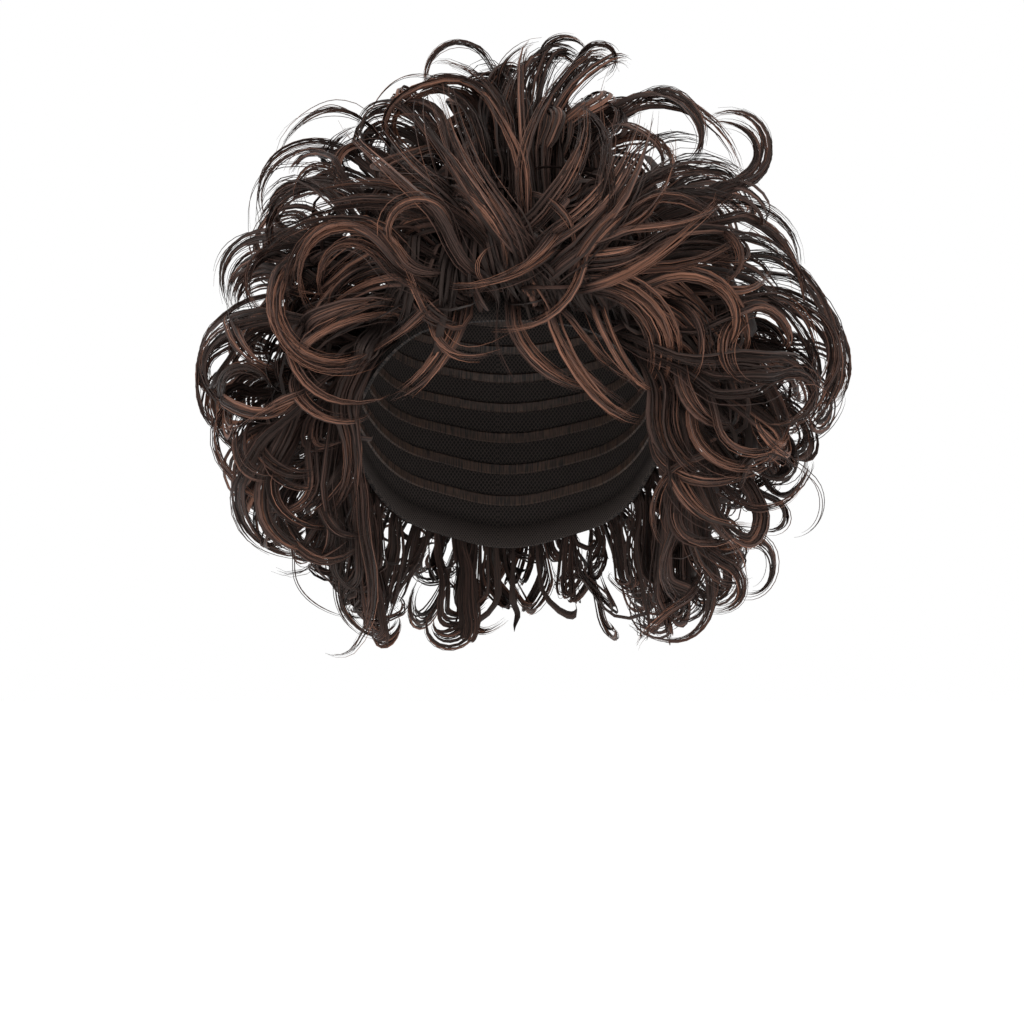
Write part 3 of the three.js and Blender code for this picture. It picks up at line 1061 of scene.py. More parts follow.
FILL, FULL, OPEN, STRAY = LockBody.FILL, LockBody.FULL, LockBody.OPEN, LockBody.STRAY
SEEN_LOCKS = (
    # Over the top, from the parting upwards
    SeenLock((508, 210), (478, 165), (452, 96), 13.0 * MM, 0.45),
    SeenLock((508, 232), (470, 178), (440, 104), 9.0 * MM, 0.35, FULL, -50.0),
    SeenLock((524, 195), (516, 150), (486, 98), 8.0 * MM, 0.80, FULL, 50.0),
    SeenLock((522, 196), (526, 140), (548, 94), 8.0 * MM, 0.55, FULL, 50.0),
    SeenLock((530, 172), (521, 104), (523, 55), 8.0 * MM, 0.35, FULL, 60.0),
    SeenLock((535, 170), (549, 96), (588, 54), 8.0 * MM, 0.25, FULL, 70.0),
    SeenLock((545, 180), (568, 94), (608, 60), 8.0 * MM, 0.25, FULL, 80.0),
    SeenLock((512, 150), (494, 92), (452, 64), 7.0 * MM, 0.25, FULL, 60.0),
    SeenLock((500, 130), (478, 86), (436, 76), 5.0 * MM, 0.20, OPEN, 60.0),
    SeenLock((552, 200), (578, 160), (584, 112), 9.0 * MM, 0.25, FULL, -60.0),
    SeenLock((606, 170), (602, 126), (577, 103), 5.0 * MM, 0.20),
    SeenLock((608, 170), (614, 128), (642, 109), 6.0 * MM, 0.25),
    SeenLock((462, 190), (490, 216), (505, 262), 4.0 * MM, 0.60, OPEN, 30.0),
    SeenLock((545, 197), (568, 218), (576, 246), 2.0 * MM, 0.40, OPEN),
    SeenLock((556, 234), (538, 256), (503, 279), 4.0 * MM, 0.50, OPEN),
    SeenLock((486, 56), (450, 43), (424, 84), 3.0 * MM, 0.25, OPEN),
    SeenLock((500, 80), (520, 48), (548, 44), 3.0 * MM, 0.25, OPEN),
    SeenLock((541, 58), (560, 37), (583, 46), 2.0 * MM, 0.20, OPEN),
    SeenLock((583, 52), (603, 44), (611, 72), 2.0 * MM, 0.20, OPEN),
    SeenLock((604, 116), (607, 78), (624, 48), 1.5 * MM, 0.20, STRAY),
    SeenLock((437, 79), (396, 79), (367, 114), 1.5 * MM, 0.20, STRAY),
    # Dark hair that closes the outline
    SeenLock((512, 140), (508, 100), (522, 66), 10.0 * MM, 0.15, FULL, 120.0, -2.0 * MM),
    SeenLock((538, 150), (536, 104), (549, 62), 10.0 * MM, 0.15, FULL, 120.0, -2.0 * MM),
    SeenLock((556, 150), (562, 104), (582, 66), 10.0 * MM, 0.15, FULL, 120.0, -2.0 * MM),
    SeenLock((528, 112), (529, 80), (546, 58), 10.0 * MM, 0.12, FULL, 120.0),
    SeenLock((556, 112), (561, 82), (580, 62), 10.0 * MM, 0.12, FULL, 110.0),
    SeenLock((488, 140), (482, 104), (496, 76), 10.0 * MM, 0.10, FILL, 110.0, -4.0 * MM),
    SeenLock((528, 128), (520, 92), (502, 70), 10.0 * MM, 0.12, FILL, 110.0, -4.0 * MM),
    SeenLock((480, 140), (464, 104), (440, 90), 9.0 * MM, 0.12, FULL, 100.0, -2.0 * MM),
    SeenLock((450, 140), (436, 112), (416, 104), 10.0 * MM, 0.08, FILL, 100.0, -4.0 * MM),
    SeenLock((640, 215), (692, 190), (744, 208), 11.0 * MM, 0.08, FILL, 30.0, -8.0 * MM),
    SeenLock((650, 242), (705, 226), (756, 240), 11.0 * MM, 0.08, FILL, 30.0, -8.0 * MM),
    SeenLock((625, 165), (660, 138), (702, 140), 10.0 * MM, 0.08, FILL, 30.0, -8.0 * MM),
    SeenLock((632, 192), (692, 168), (748, 190), 12.0 * MM, 0.08, FILL, 30.0, -10.0 * MM),
    SeenLock((680, 248), (742, 256), (782, 292), 12.0 * MM, 0.08, FILL, 30.0, -8.0 * MM),
    SeenLock((660, 275), (725, 272), (772, 300), 12.0 * MM, 0.15, FILL, 30.0, -12.0 * MM),
    SeenLock((652, 176), (694, 156), (734, 170), 12.0 * MM, 0.10, FILL, 30.0, -4.0 * MM),
    SeenLock((660, 196), (702, 176), (746, 190), 12.0 * MM, 0.10, FULL, 30.0, -4.0 * MM),
    SeenLock((814, 368), (806, 410), (764, 424), 9.0 * MM, 0.10),
    SeenLock((345, 206), (300, 186), (262, 214), 12.0 * MM, 0.10),
    SeenLock((330, 194), (296, 180), (266, 198), 10.0 * MM, 0.10, FILL),
    SeenLock((264, 258), (237, 276), (232, 314), 10.0 * MM, 0.10),
    SeenLock((288, 266), (248, 264), (230, 298), 12.0 * MM, 0.10, FILL, 30.0, -4.0 * MM),
    SeenLock((286, 288), (256, 280), (238, 304), 10.0 * MM, 0.10, FILL, 30.0, -4.0 * MM),
    # Brown hair behind the rings of both sides
    SeenLock((396, 232), (348, 258), (306, 304), 14.0 * MM, 0.50, FILL, 20.0, -14.0 * MM),
    SeenLock((404, 272), (358, 282), (312, 322), 14.0 * MM, 0.45, FILL, 20.0, -14.0 * MM),
    SeenLock((405, 240), (355, 240), (300, 285), 14.0 * MM, 0.20, FILL, 20.0, -22.0 * MM),
    SeenLock((400, 275), (352, 270), (300, 310), 14.0 * MM, 0.20, FILL, 20.0, -22.0 * MM),
    SeenLock((396, 300), (350, 318), (306, 360), 12.0 * MM, 0.40, FILL, 20.0, -12.0 * MM),
    SeenLock((620, 262), (684, 296), (736, 352), 14.0 * MM, 0.45, FILL, 20.0, -14.0 * MM),
    SeenLock((628, 300), (682, 334), (716, 384), 14.0 * MM, 0.50, FILL, 20.0, -14.0 * MM),
    # Loose strands along the hairline
    SeenLock((480, 279), (478, 258), (496, 243), 1.5 * MM, 0.50, STRAY, 20.0),
    SeenLock((392, 117), (424, 114), (456, 124), 3.0 * MM, 0.60, STRAY, 20.0),
    SeenLock((423, 98), (424, 126), (444, 184), 3.0 * MM, 0.60, STRAY, 20.0),
    SeenLock((404, 176), (426, 200), (454, 224), 3.0 * MM, 0.70, STRAY, 20.0),
    SeenLock((387, 257), (394, 324), (408, 397), 1.0 * MM, 0.40, STRAY, 10.0),
    SeenLock((424, 312), (398, 333), (371, 354), 3.0 * MM, 0.40, OPEN, 20.0),
    SeenLock((554, 322), (590, 379), (624, 405), 3.0 * MM, 0.50, OPEN, 20.0, -4.0 * MM),
    SeenLock((572, 322), (611, 366), (638, 386), 3.0 * MM, 0.55, OPEN, 20.0, -2.0 * MM),
    SeenLock((498, 352), (519, 383), (544, 404), 1.0 * MM, 0.40, STRAY, 10.0, -4.0 * MM),
    # Upper right as worn, at the left of the picture
    SeenLock((482, 206), (452, 166), (420, 112), 10.0 * MM, 0.25, FULL, -40.0),
    SeenLock((418, 198), (390, 174), (352, 135), 6.0 * MM, 0.55, FULL, 30.0),
    SeenLock((428, 178), (400, 150), (376, 122), 8.0 * MM, 0.30, FULL, 60.0),
    SeenLock((420, 196), (362, 184), (292, 200), 7.0 * MM, 0.45),
    SeenLock((402, 205), (330, 206), (258, 240), 12.0 * MM, 0.25),
    SeenLock((372, 222), (312, 222), (262, 252), 9.0 * MM, 0.20),
    SeenLock((449, 222), (404, 203), (398, 252), 4.0 * MM, 0.60, OPEN),
    SeenLock((402, 106), (363, 122), (371, 154), 5.0 * MM, 0.12, FULL, 30.0),
    SeenLock((363, 119), (306, 118), (282, 152), 4.0 * MM, 0.20, OPEN),
    SeenLock((345, 150), (284, 154), (264, 225), 5.0 * MM, 0.20, OPEN),
    SeenLock((333, 158), (311, 153), (290, 168), 2.0 * MM, 0.20, OPEN),
    SeenLock((335, 172), (312, 168), (296, 190), 4.0 * MM, 0.25, OPEN),
    SeenLock((267, 169), (250, 200), (248, 230), 2.0 * MM, 0.15, STRAY),
    # Rings at the right side as worn
    SeenLock((386, 238), (403, 266), (430, 324), 5.0 * MM, 0.70, FULL, 20.0),
    SeenLock((400, 258), (352, 224), (302, 302), 8.0 * MM, 0.80),
    SeenLock((388, 264), (346, 244), (322, 296), 7.0 * MM, 0.50),
    SeenLock((384, 244), (330, 226), (288, 292), 7.0 * MM, 0.30),
    SeenLock((312, 318), (342, 304), (388, 300), 8.0 * MM, 0.35),
    SeenLock((306, 344), (338, 324), (392, 316), 4.0 * MM, 0.55),
    SeenLock((284, 268), (292, 342), (372, 349), 7.0 * MM, 0.70),
    SeenLock((280, 282), (288, 350), (374, 361), 5.0 * MM, 0.60),
    SeenLock((292, 350), (322, 392), (376, 400), 7.0 * MM, 0.50),
    SeenLock((298, 392), (326, 418), (364, 416), 7.0 * MM, 0.40),
    SeenLock((300, 396), (276, 406), (245, 424), 6.0 * MM, 0.40),
    SeenLock((352, 416), (359, 468), (350, 526), 6.0 * MM, 0.20, FULL, 20.0),
    SeenLock((344, 424), (348, 470), (330, 512), 8.0 * MM, 0.12),
    SeenLock((340, 474), (318, 500), (294, 516), 7.0 * MM, 0.15),
    SeenLock((312, 470), (304, 500), (272, 512), 6.0 * MM, 0.25),
    SeenLock((330, 520), (322, 560), (290, 574), 7.0 * MM, 0.12),
    SeenLock((273, 479), (289, 517), (322, 526), 6.0 * MM, 0.12),
    SeenLock((261, 441), (280, 469), (313, 469), 6.0 * MM, 0.15),
    SeenLock((268, 460), (289, 486), (322, 479), 5.0 * MM, 0.12, OPEN),
    SeenLock((291, 538), (322, 559), (362, 547), 7.0 * MM, 0.10),
    SeenLock((322, 502), (336, 528), (365, 535), 7.0 * MM, 0.10),
    SeenLock((332, 560), (348, 588), (372, 592), 5.0 * MM, 0.12, OPEN),
    SeenLock((355, 583), (343, 606), (355, 619), 3.0 * MM, 0.12, OPEN),
    # Outline at the right as worn
    SeenLock((286, 238), (232, 254), (228, 306), 9.0 * MM, 0.12),
    SeenLock((272, 250), (246, 284), (276, 316), 9.0 * MM, 0.10),
    SeenLock((228, 320), (243, 350), (266, 367), 7.0 * MM, 0.28),
    SeenLock((242, 322), (203, 362), (240, 412), 8.0 * MM, 0.20),
    SeenLock((222, 398), (238, 366), (268, 386), 4.0 * MM, 0.12, OPEN),
    SeenLock((222, 400), (246, 412), (302, 394), 5.0 * MM, 0.40),
    SeenLock((214, 325), (196, 372), (212, 425), 2.0 * MM, 0.15, OPEN),
    SeenLock((218, 420), (222, 466), (270, 500), 6.0 * MM, 0.45),
    SeenLock((240, 430), (244, 462), (282, 478), 6.0 * MM, 0.15, OPEN),
    SeenLock((238, 484), (252, 532), (300, 556), 6.0 * MM, 0.20),
    SeenLock((262, 500), (278, 536), (322, 548), 7.0 * MM, 0.12),
    SeenLock((369, 560), (370, 605), (354, 648), 5.0 * MM, 0.15, OPEN, 90.0),
    SeenLock((340, 575), (345, 610), (372, 634), 5.0 * MM, 0.15, OPEN, 60.0),
    SeenLock((294, 571), (312, 604), (362, 617), 1.0 * MM, 0.10, STRAY),
    # Upper left as worn, at the right of the picture
    SeenLock((566, 226), (614, 181), (641, 112), 11.0 * MM, 0.50),
    SeenLock((600, 226), (638, 172), (652, 118), 12.0 * MM, 0.45, FILL, 20.0),
    SeenLock((580, 260), (604, 228), (642, 202), 7.0 * MM, 0.40),
    SeenLock((645, 100), (690, 108), (742, 182), 9.0 * MM, 0.15, FULL, 10.0),
    SeenLock((662, 94), (698, 122), (696, 156), 7.0 * MM, 0.12),
    SeenLock((732, 186), (768, 150), (712, 116), 6.0 * MM, 0.15, FULL, 30.0),
    SeenLock((742, 178), (757, 146), (714, 124), 3.0 * MM, 0.15, OPEN, 30.0),
    SeenLock((648, 182), (690, 170), (738, 180), 12.0 * MM, 0.15),
    SeenLock((629, 226), (662, 192), (671, 152), 4.0 * MM, 0.75),
    SeenLock((638, 205), (680, 195), (709, 213), 6.0 * MM, 0.45),
    SeenLock((628, 228), (680, 221), (731, 202), 6.0 * MM, 0.65),
    SeenLock((602, 280), (665, 248), (713, 206), 9.0 * MM, 0.75),
    SeenLock((588, 258), (632, 250), (668, 233), 7.0 * MM, 0.50),
    SeenLock((632, 269), (690, 262), (734, 243), 6.0 * MM, 0.60),
    SeenLock((735, 238), (741, 254), (719, 284), 3.0 * MM, 0.50, OPEN),
    SeenLock((586, 252), (562, 306), (468, 322), 4.0 * MM, 0.50, OPEN),
    SeenLock((548, 252), (495, 282), (455, 284), 4.0 * MM, 0.50, OPEN),
    # Rings at the left side as worn
    SeenLock((598, 276), (664, 316), (664, 392), 9.0 * MM, 0.85),
    SeenLock((606, 292), (650, 328), (646, 384), 8.0 * MM, 0.45),
    SeenLock((650, 282), (732, 296), (749, 341), 7.0 * MM, 0.70),
    SeenLock((690, 284), (736, 310), (716, 354), 7.0 * MM, 0.60),
    SeenLock((670, 300), (702, 330), (690, 376), 9.0 * MM, 0.35),
    SeenLock((742, 314), (776, 314), (788, 336), 6.0 * MM, 0.55),
    SeenLock((735, 322), (722, 350), (764, 381), 5.0 * MM, 0.50),
    SeenLock((726, 290), (750, 287), (768, 276), 4.0 * MM, 0.60),
    SeenLock((682, 372), (692, 404), (722, 424), 7.0 * MM, 0.40),
    SeenLock((694, 398), (722, 464), (782, 443), 9.0 * MM, 0.65),
    SeenLock((716, 416), (746, 450), (784, 430), 9.0 * MM, 0.55),
    SeenLock((656, 406), (660, 440), (684, 466), 6.0 * MM, 0.25),
    SeenLock((668, 400), (672, 440), (700, 472), 8.0 * MM, 0.20),
    SeenLock((670, 470), (714, 482), (764, 468), 4.0 * MM, 0.40, OPEN),
    SeenLock((672, 474), (697, 508), (747, 528), 8.0 * MM, 0.50),
    SeenLock((700, 456), (654, 500), (660, 536), 3.0 * MM, 0.45, OPEN),
    SeenLock((676, 500), (680, 530), (726, 538), 8.0 * MM, 0.20),
    SeenLock((722, 534), (742, 558), (748, 582), 7.0 * MM, 0.45),
    SeenLock((690, 540), (704, 570), (736, 584), 8.0 * MM, 0.20),
    SeenLock((668, 545), (664, 580), (684, 612), 6.0 * MM, 0.15),
    # Outline at the left as worn
    SeenLock((738, 236), (780, 250), (807, 291), 8.0 * MM, 0.15),
    SeenLock((730, 200), (785, 225), (801, 266), 4.0 * MM, 0.15, OPEN),
    SeenLock((806, 284), (841, 364), (800, 432), 8.0 * MM, 0.15),
    SeenLock((794, 268), (834, 340), (812, 424), 7.0 * MM, 0.12),
    SeenLock((742, 214), (788, 250), (806, 304), 6.0 * MM, 0.12),
    SeenLock((826, 312), (850, 356), (841, 396), 2.0 * MM, 0.15, OPEN),
    SeenLock((770, 360), (810, 384), (792, 424), 9.0 * MM, 0.12),
    SeenLock((826, 330), (837, 384), (800, 430), 8.0 * MM, 0.12, FULL, 30.0),
    SeenLock((758, 392), (798, 378), (826, 404), 7.0 * MM, 0.12),
    SeenLock((772, 298), (814, 332), (800, 384), 5.0 * MM, 0.12, OPEN),
    SeenLock((799, 306), (834, 366), (766, 398), 5.0 * MM, 0.12, OPEN),
    SeenLock((775, 376), (816, 388), (782, 419), 4.0 * MM, 0.12, OPEN),
    SeenLock((752, 509), (797, 490), (809, 458), 2.5 * MM, 0.30, OPEN),
    SeenLock((742, 474), (782, 456), (792, 476), 4.0 * MM, 0.15, OPEN),
    SeenLock((806, 473), (823, 495), (768, 531), 1.0 * MM, 0.10, STRAY, 10.0),
    SeenLock((804, 441), (832, 427), (842, 402), 1.0 * MM, 0.10, STRAY),
    SeenLock((745, 540), (774, 562), (744, 592), 4.0 * MM, 0.15, OPEN),
    SeenLock((720, 560), (742, 590), (716, 612), 5.0 * MM, 0.25, OPEN),
    SeenLock((712, 590), (697, 630), (648, 637), 4.0 * MM, 0.20, OPEN),
    SeenLock((690, 600), (668, 612), (640, 641), 4.0 * MM, 0.20, OPEN),
)


@dataclass(frozen=True)
class Hairline:
    """Dark locks along the cap's front rim, which fall over it away from the parting.

    Places, and the ranges that they are drawn from, are in pixels.
    """

    parting: float = 455.0
    middle: float = 507.0
    half_span: float = 138.0
    rim_row: float = 316.0
    corner_drop: float = 62.0
    count: int = 36

    CORNER_POWER = 4
    FULL_LEAN_AT = 60.0
    LEAN = (6.0, 30.0)
    ROW_SCATTER = (-14.0, 8.0)
    BEGIN_ABOVE = (48.0, 85.0)
    THROUGH_BESIDE = (-6.0, 6.0)
    THROUGH_ABOVE = (20.0, 36.0)
    END_LEAN = (0.6, 1.5)
    BAND = (7.0 * MM, 11.0 * MM)
    TONE = (-0.5, -0.2)
    PROUD = (-22.0 * MM, -8.0 * MM)
    CURL_DEGREES = 20.0

    def locks(self, rng: Rng) -> tuple[SeenLock, ...]:
        """Draws the locks from one side to the other.

        Args:
            rng: Where their differences are drawn from.

        Returns:
            The locks.
        """
        drawn = []
        for share in np.linspace(-1.0, 1.0, self.count):
            column = self.middle + self.half_span * share
            rim = self.rim_row + self.corner_drop * share**self.CORNER_POWER
            row = rim + rng.uniform(*self.ROW_SCATTER)
            side = np.clip((column - self.parting) / self.FULL_LEAN_AT, -1.0, 1.0)
            lean = side * rng.uniform(*self.LEAN)
            begin = column - lean, row - rng.uniform(*self.BEGIN_ABOVE)
            through = column + rng.uniform(*self.THROUGH_BESIDE), row - rng.uniform(*self.THROUGH_ABOVE)
            end = column + lean * rng.uniform(*self.END_LEAN), row
            band, tone = rng.uniform(*self.BAND), rng.uniform(*self.TONE)
            proud = rng.uniform(*self.PROUD)
            drawn.append(SeenLock(begin, through, end, band, tone, FILL, self.CURL_DEGREES, proud))
        return tuple(drawn)


@dataclass(frozen=True)
class FringeLock:
    """A lock that falls in front of the opening, as its solid does.

    Azimuths, fall and turn are in degrees.
    """

    root_azimuth: float
    tip_azimuth: float
    fall: float
    turn: float
    lift: float
    width: float
    depth: float
    tone: float
    body: LockBody

    ROOT_POLAR = 64.0
    HELD_POLAR = 55.0
    SWING_POWER = 1.6
    STEPS = 46

    def lock(self, dome: Dome) -> Lock:
        """Lays the lock from its root in the cap along the middle of its solid.

        Args:
            dome: The form that it falls over.

        Returns:
            The lock.
        """
        share = np.linspace(0.0, 1.0, self.STEPS)
        azimuth = self.root_azimuth + (self.tip_azimuth - self.root_azimuth) * share**self.SWING_POWER
        polar = self.ROOT_POLAR + np.sin(np.radians(self.turn * share)) * self.fall
        fallen = dome.point(azimuth, polar, self.lift)
        root = dome.point(self.root_azimuth, self.HELD_POLAR, dome.wall)
        leave = dome.normal(self.root_azimuth, self.HELD_POLAR)
        stem = stem_points(root, leave, fallen[0], unit(fallen[1] - fallen[0]))
        across = np.cross(dome.normal(azimuth[-1], polar[-1]), unit(fallen[-1] - fallen[-2]))
        return Lock(np.vstack([stem, fallen]), across, self.width, self.depth, self.tone, self.body)


FRINGE_LOCKS = (
    FringeLock(-18.0, -49.0, 22.0, 90.0, 5.0 * MM, 9.0 * MM, 4.0 * MM, 0.65, FULL),
    FringeLock(-25.0, 3.0, 12.0, 135.0, 11.0 * MM, 5.0 * MM, 3.0 * MM, 0.60, OPEN),
    FringeLock(2.0, 37.0, 20.0, 95.0, 5.0 * MM, 8.0 * MM, 4.0 * MM, 0.65, FULL),
    FringeLock(14.0, 49.0, 27.0, 95.0, 12.0 * MM, 7.0 * MM, 4.0 * MM, 0.70, FULL),
    FringeLock(27.0, 49.0, 21.0, 90.0, 19.0 * MM, 9.0 * MM, 4.0 * MM, 0.75, FULL),
)


class LockMaker:
    """Lays locks to the form and flow of the hair: at random in a tuft, or as they show from the front."""

    STYLE_SHARES = {
        "crown_tuft": (0.45, 0.25, 0.30, 0.0),
        "upper_tuft": (0.40, 0.30, 0.30, 0.0),
        "middle_tuft": (0.40, 0.30, 0.30, 0.0),
        "lower_tuft": (0.35, 0.45, 0.10, 0.10),
        "nape_tuft": (0.30, 0.50, 0.05, 0.15),
    }
    INNER_SHARE = 0.3
    STEM_SHARE = 0.5
    SEEN_STEM_SHARE = 0.9
    WAVE_FROM = 35.0 * MM
    WAVE_LENGTH = 42.0 * MM
    WAVE_SHARE = 0.12
    MOST_WAVE = 5.0 * MM
    RADIUS_SHARE = 0.6
    FLAT_FROM = 0.6
    RUFFLE = 2.2 * MM
    SEEN_RUFFLE = 0.8 * MM
    PROUD = 3.0 * MM
    LOWEST = (-213.0 * MM, -185.0 * MM)
    SEEN_THICKNESS = 4.0 * MM
    DEPTH_MARKS = 9
    DEPTH_REACH = 22.0 * MM
    ARCH = (4.0 * MM, 11.0 * MM)
    ROOT_LEAN = 0.6
    RIM_LEAN = 1.4
    RIM_MARGIN = (2.0, 16.0)
    ROOT_GAP = 0.2 * MM
    ROUNDING = 14
    RUFFLE_WAVES = 1.4
    SEEN_FROM = 0.4
    UNDER_RISE = (0.3, 0.75)
    INNER_RISE = (0.55, 0.8)
    OUTER_RISE = (0.86, 1.06)
    WARM_FROM = 0.8
    UNDER_TONE_AND_SHADE = (-0.2, 0.1)
    DARK_TONE = (0.05, 0.4)
    WARM_AND_SHEEN_TONE = (0.45, 0.85)
    BROAD = (8.0 * MM, 14.0 * MM)
    THIN = (2.5 * MM, 4.5 * MM)
    OTHER_HAND_SHARE = 0.5
    LEAST_LIFT = 0.25
    PITCH_SPREAD = 1.5 * MM
    THICKNESS_SHARE = 0.8

    def __init__(self, dome: Dome, form: OuterForm, flow: Flow) -> None:
        """Keeps what the locks follow.

        Args:
            dome: The form that carries the roots.
            form: The outer form of the hair.
            flow: The way the hair lies.
        """
        self.dome = dome
        self.form = form
        self.flow = flow

    def draw(self, rng: Rng, tier: Tier, index: int, body: LockBody) -> Lock:
        """Draws one lock of a tuft, lower where the seen locks lie over it, and so darker with painted
        shade.

        Args:
            rng: Where its differences are drawn from.
            tier: The tuft's tier.
            index: The tuft's number in its tier, from 0.
            body: How full it is.

        Returns:
            The lock.
        """
        style = rng.choice(np.array(list(CurlStyle), dtype=object), p=self.STYLE_SHARES[tier.name])
        azimuth = rng.uniform(*tier.cell(index))
        level = np.cos(np.radians((tier.polar_to, tier.polar_from)))
        polar = math.degrees(math.acos(rng.uniform(*level)))
        normal = self.dome.normal(azimuth, polar)
        under_seen = -normal[1] > self.SEEN_FROM
        if body is LockBody.UNDER:
            rise = rng.uniform(*self.UNDER_RISE)
        elif under_seen or rng.random() < self.INNER_SHARE:
            rise = rng.uniform(*self.INNER_RISE)
        else:
            rise = rng.uniform(*self.OUTER_RISE)
        curl, lift = self._curl(rng, HABITS[style], tier.curl_size, azimuth, polar, rise)
        points = curl.points()
        points = points + self.form.move_in(points, self.PROUD, rng.uniform(*self.LOWEST))
        path = self._path(rng, points, curl.heading, self.STEM_SHARE * lift, self.RUFFLE)
        broad, thin = rng.uniform(*self.BROAD), rng.uniform(*self.THIN)
        lies_flat = abs(float(curl.axis @ normal)) > self.FLAT_FROM
        # Under ribbons are real hair near the cap, kept dark as painted shade in the gaps between the locks
        # over them.
        if body is LockBody.UNDER:
            tone = rng.uniform(*self.UNDER_TONE_AND_SHADE)
        # Only locks far out in the hair may turn warm: the auburn is partly the hair's own colour and partly
        # a painted highlight on the outer hair.
        elif rise > self.WARM_FROM and rng.random() < tier.warm_share:
            tone = rng.uniform(*self.WARM_AND_SHEEN_TONE)
        else:
            tone = rng.uniform(*self.DARK_TONE)
        return Lock(
            path,
            curl.axis,
            width=thin if lies_flat else broad,
            depth=broad if lies_flat else thin,
            tone=tone,
            body=body,
        )

    def _curl(
        self, rng: Rng, habit: CurlHabit, size: float, azimuth: float, polar: float, rise: float
    ) -> tuple[Curl, float]:
        """Draws the curl of a lock.

        Args:
            rng: Where it is drawn from.
            habit: The ranges of its style.
            size: Its size as a share of the style's.
            azimuth: The azimuth of its middle.
            polar: The polar angle of its middle.
            rise: How far out it reaches, as a share of the hair's height.

        Returns:
            The curl, and the height of its middle over the dome.
        """
        normal, flow = self.dome.normal(azimuth, polar), self.flow.direction(azimuth, polar)
        top = float(self.form.height(azimuth, polar)) * rise
        end_radius = rng.uniform(*habit.end_radius) * size
        radius = min(end_radius * rng.uniform(*habit.opening), max(self.RADIUS_SHARE * top, end_radius))
        lean, turn = np.radians(rng.uniform(*habit.lean)), np.radians(rng.uniform(*habit.turn))
        if habit.either_hand and rng.random() < self.OTHER_HAND_SHARE:
            turn = -turn
        heading = unit(normal * math.cos(lean) + flow * math.sin(lean))
        rolling = np.cross(normal, flow)
        axis = rolling * math.cos(turn) + np.cross(heading, rolling) * math.sin(turn)
        stands = radius * math.sqrt(max(1.0 - float(axis @ normal) ** 2, 0.0))
        lift = max(top - stands, self.LEAST_LIFT * top)
        centre = self.dome.point(azimuth, polar, lift)
        sweep = math.radians(rng.uniform(*habit.sweep))
        pitch = rng.normal(0.0, self.PITCH_SPREAD)
        return Curl(centre, heading, axis, radius, end_radius, sweep, pitch), lift

    def trace(self, rng: Rng, view: "PhotoView", seen: SeenLock) -> tuple[Lock, Array]:
        """Lays a lock on the hair where it shows in the photograph.

        Args:
            rng: Where its differences are drawn from.
            view: The camera.
            seen: How the lock shows.

        Returns:
            The lock, and a point on its way.
        """
        camera, toward = view.sights(seen.pixels())
        share = np.linspace(0.0, 1.0, len(toward))
        marks = np.linspace(0, len(toward) - 1, self.DEPTH_MARKS).astype(int)
        far = np.array([self.form.meet(camera, toward[mark], seen.proud)[1] for mark in marks])
        middle = float(np.median(far))
        far = np.clip(far, middle - self.DEPTH_REACH, middle + self.DEPTH_REACH)
        depth = np.polyval(np.polyfit(share[marks], far, 2), share)
        depth = depth + rng.uniform(*self.ARCH) * (share**2 - np.sin(math.pi * share))
        points = camera + toward * (depth - camera[1])[:, None]
        heading = unit(points[1] - points[0])
        lift = float(self.dome.place_of(points[:1])[2][0])
        path = self._path(rng, points, heading, self.SEEN_STEM_SHARE * lift, self.SEEN_RUFFLE)
        thickness = min(self.SEEN_THICKNESS, self.THICKNESS_SHARE * seen.band)
        lock = Lock(path, -toward[marks[1]], thickness, seen.band, seen.tone, seen.body)
        return lock, points[len(points) // 2]

    def _path(self, rng: Rng, points: Array, heading: Array, back: float, ruffle: float) -> Array:
        """Joins a curl to the cap with a waved stem.

        Args:
            rng: Where the root's offset and the waves are drawn from.
            points: The curl's middle line.
            heading: Its direction at its beginning.
            back: How far behind its beginning the root lies.
            ruffle: How far the whole lock waves at its tip.

        Returns:
            The lock's middle line from the root to the tip.
        """
        behind = points[0] - heading * back
        azimuth, polar, _ = (float(value[0]) for value in self.dome.place_of(behind[None]))
        held = min(polar, float(self.dome.rim_polar(azimuth)) - rng.uniform(*self.RIM_MARGIN))
        root = self.dome.point(azimuth, held, self.dome.wall + self.ROOT_GAP)
        if held == polar:
            along = heading * self.ROOT_LEAN
        else:
            along = self.flow.direction(azimuth, held) * self.RIM_LEAN
        leave = unit(self.dome.normal(azimuth, held) + along)
        stem = stem_points(root, leave, points[0], heading)
        length = float(np.linalg.norm(points[0] - root))
        wave = np.clip(self.WAVE_SHARE * (length - self.WAVE_FROM), 0.0, self.MOST_WAVE)
        swing = wave * np.sin(np.linspace(0.0, math.pi, len(stem)))
        path = np.vstack([swayed(rng, stem, swing, length / self.WAVE_LENGTH), points])
        path = rounded(path, self.ROUNDING)
        return swayed(rng, path, ruffle * np.linspace(0.0, 1.0, len(path)), self.RUFFLE_WAVES)


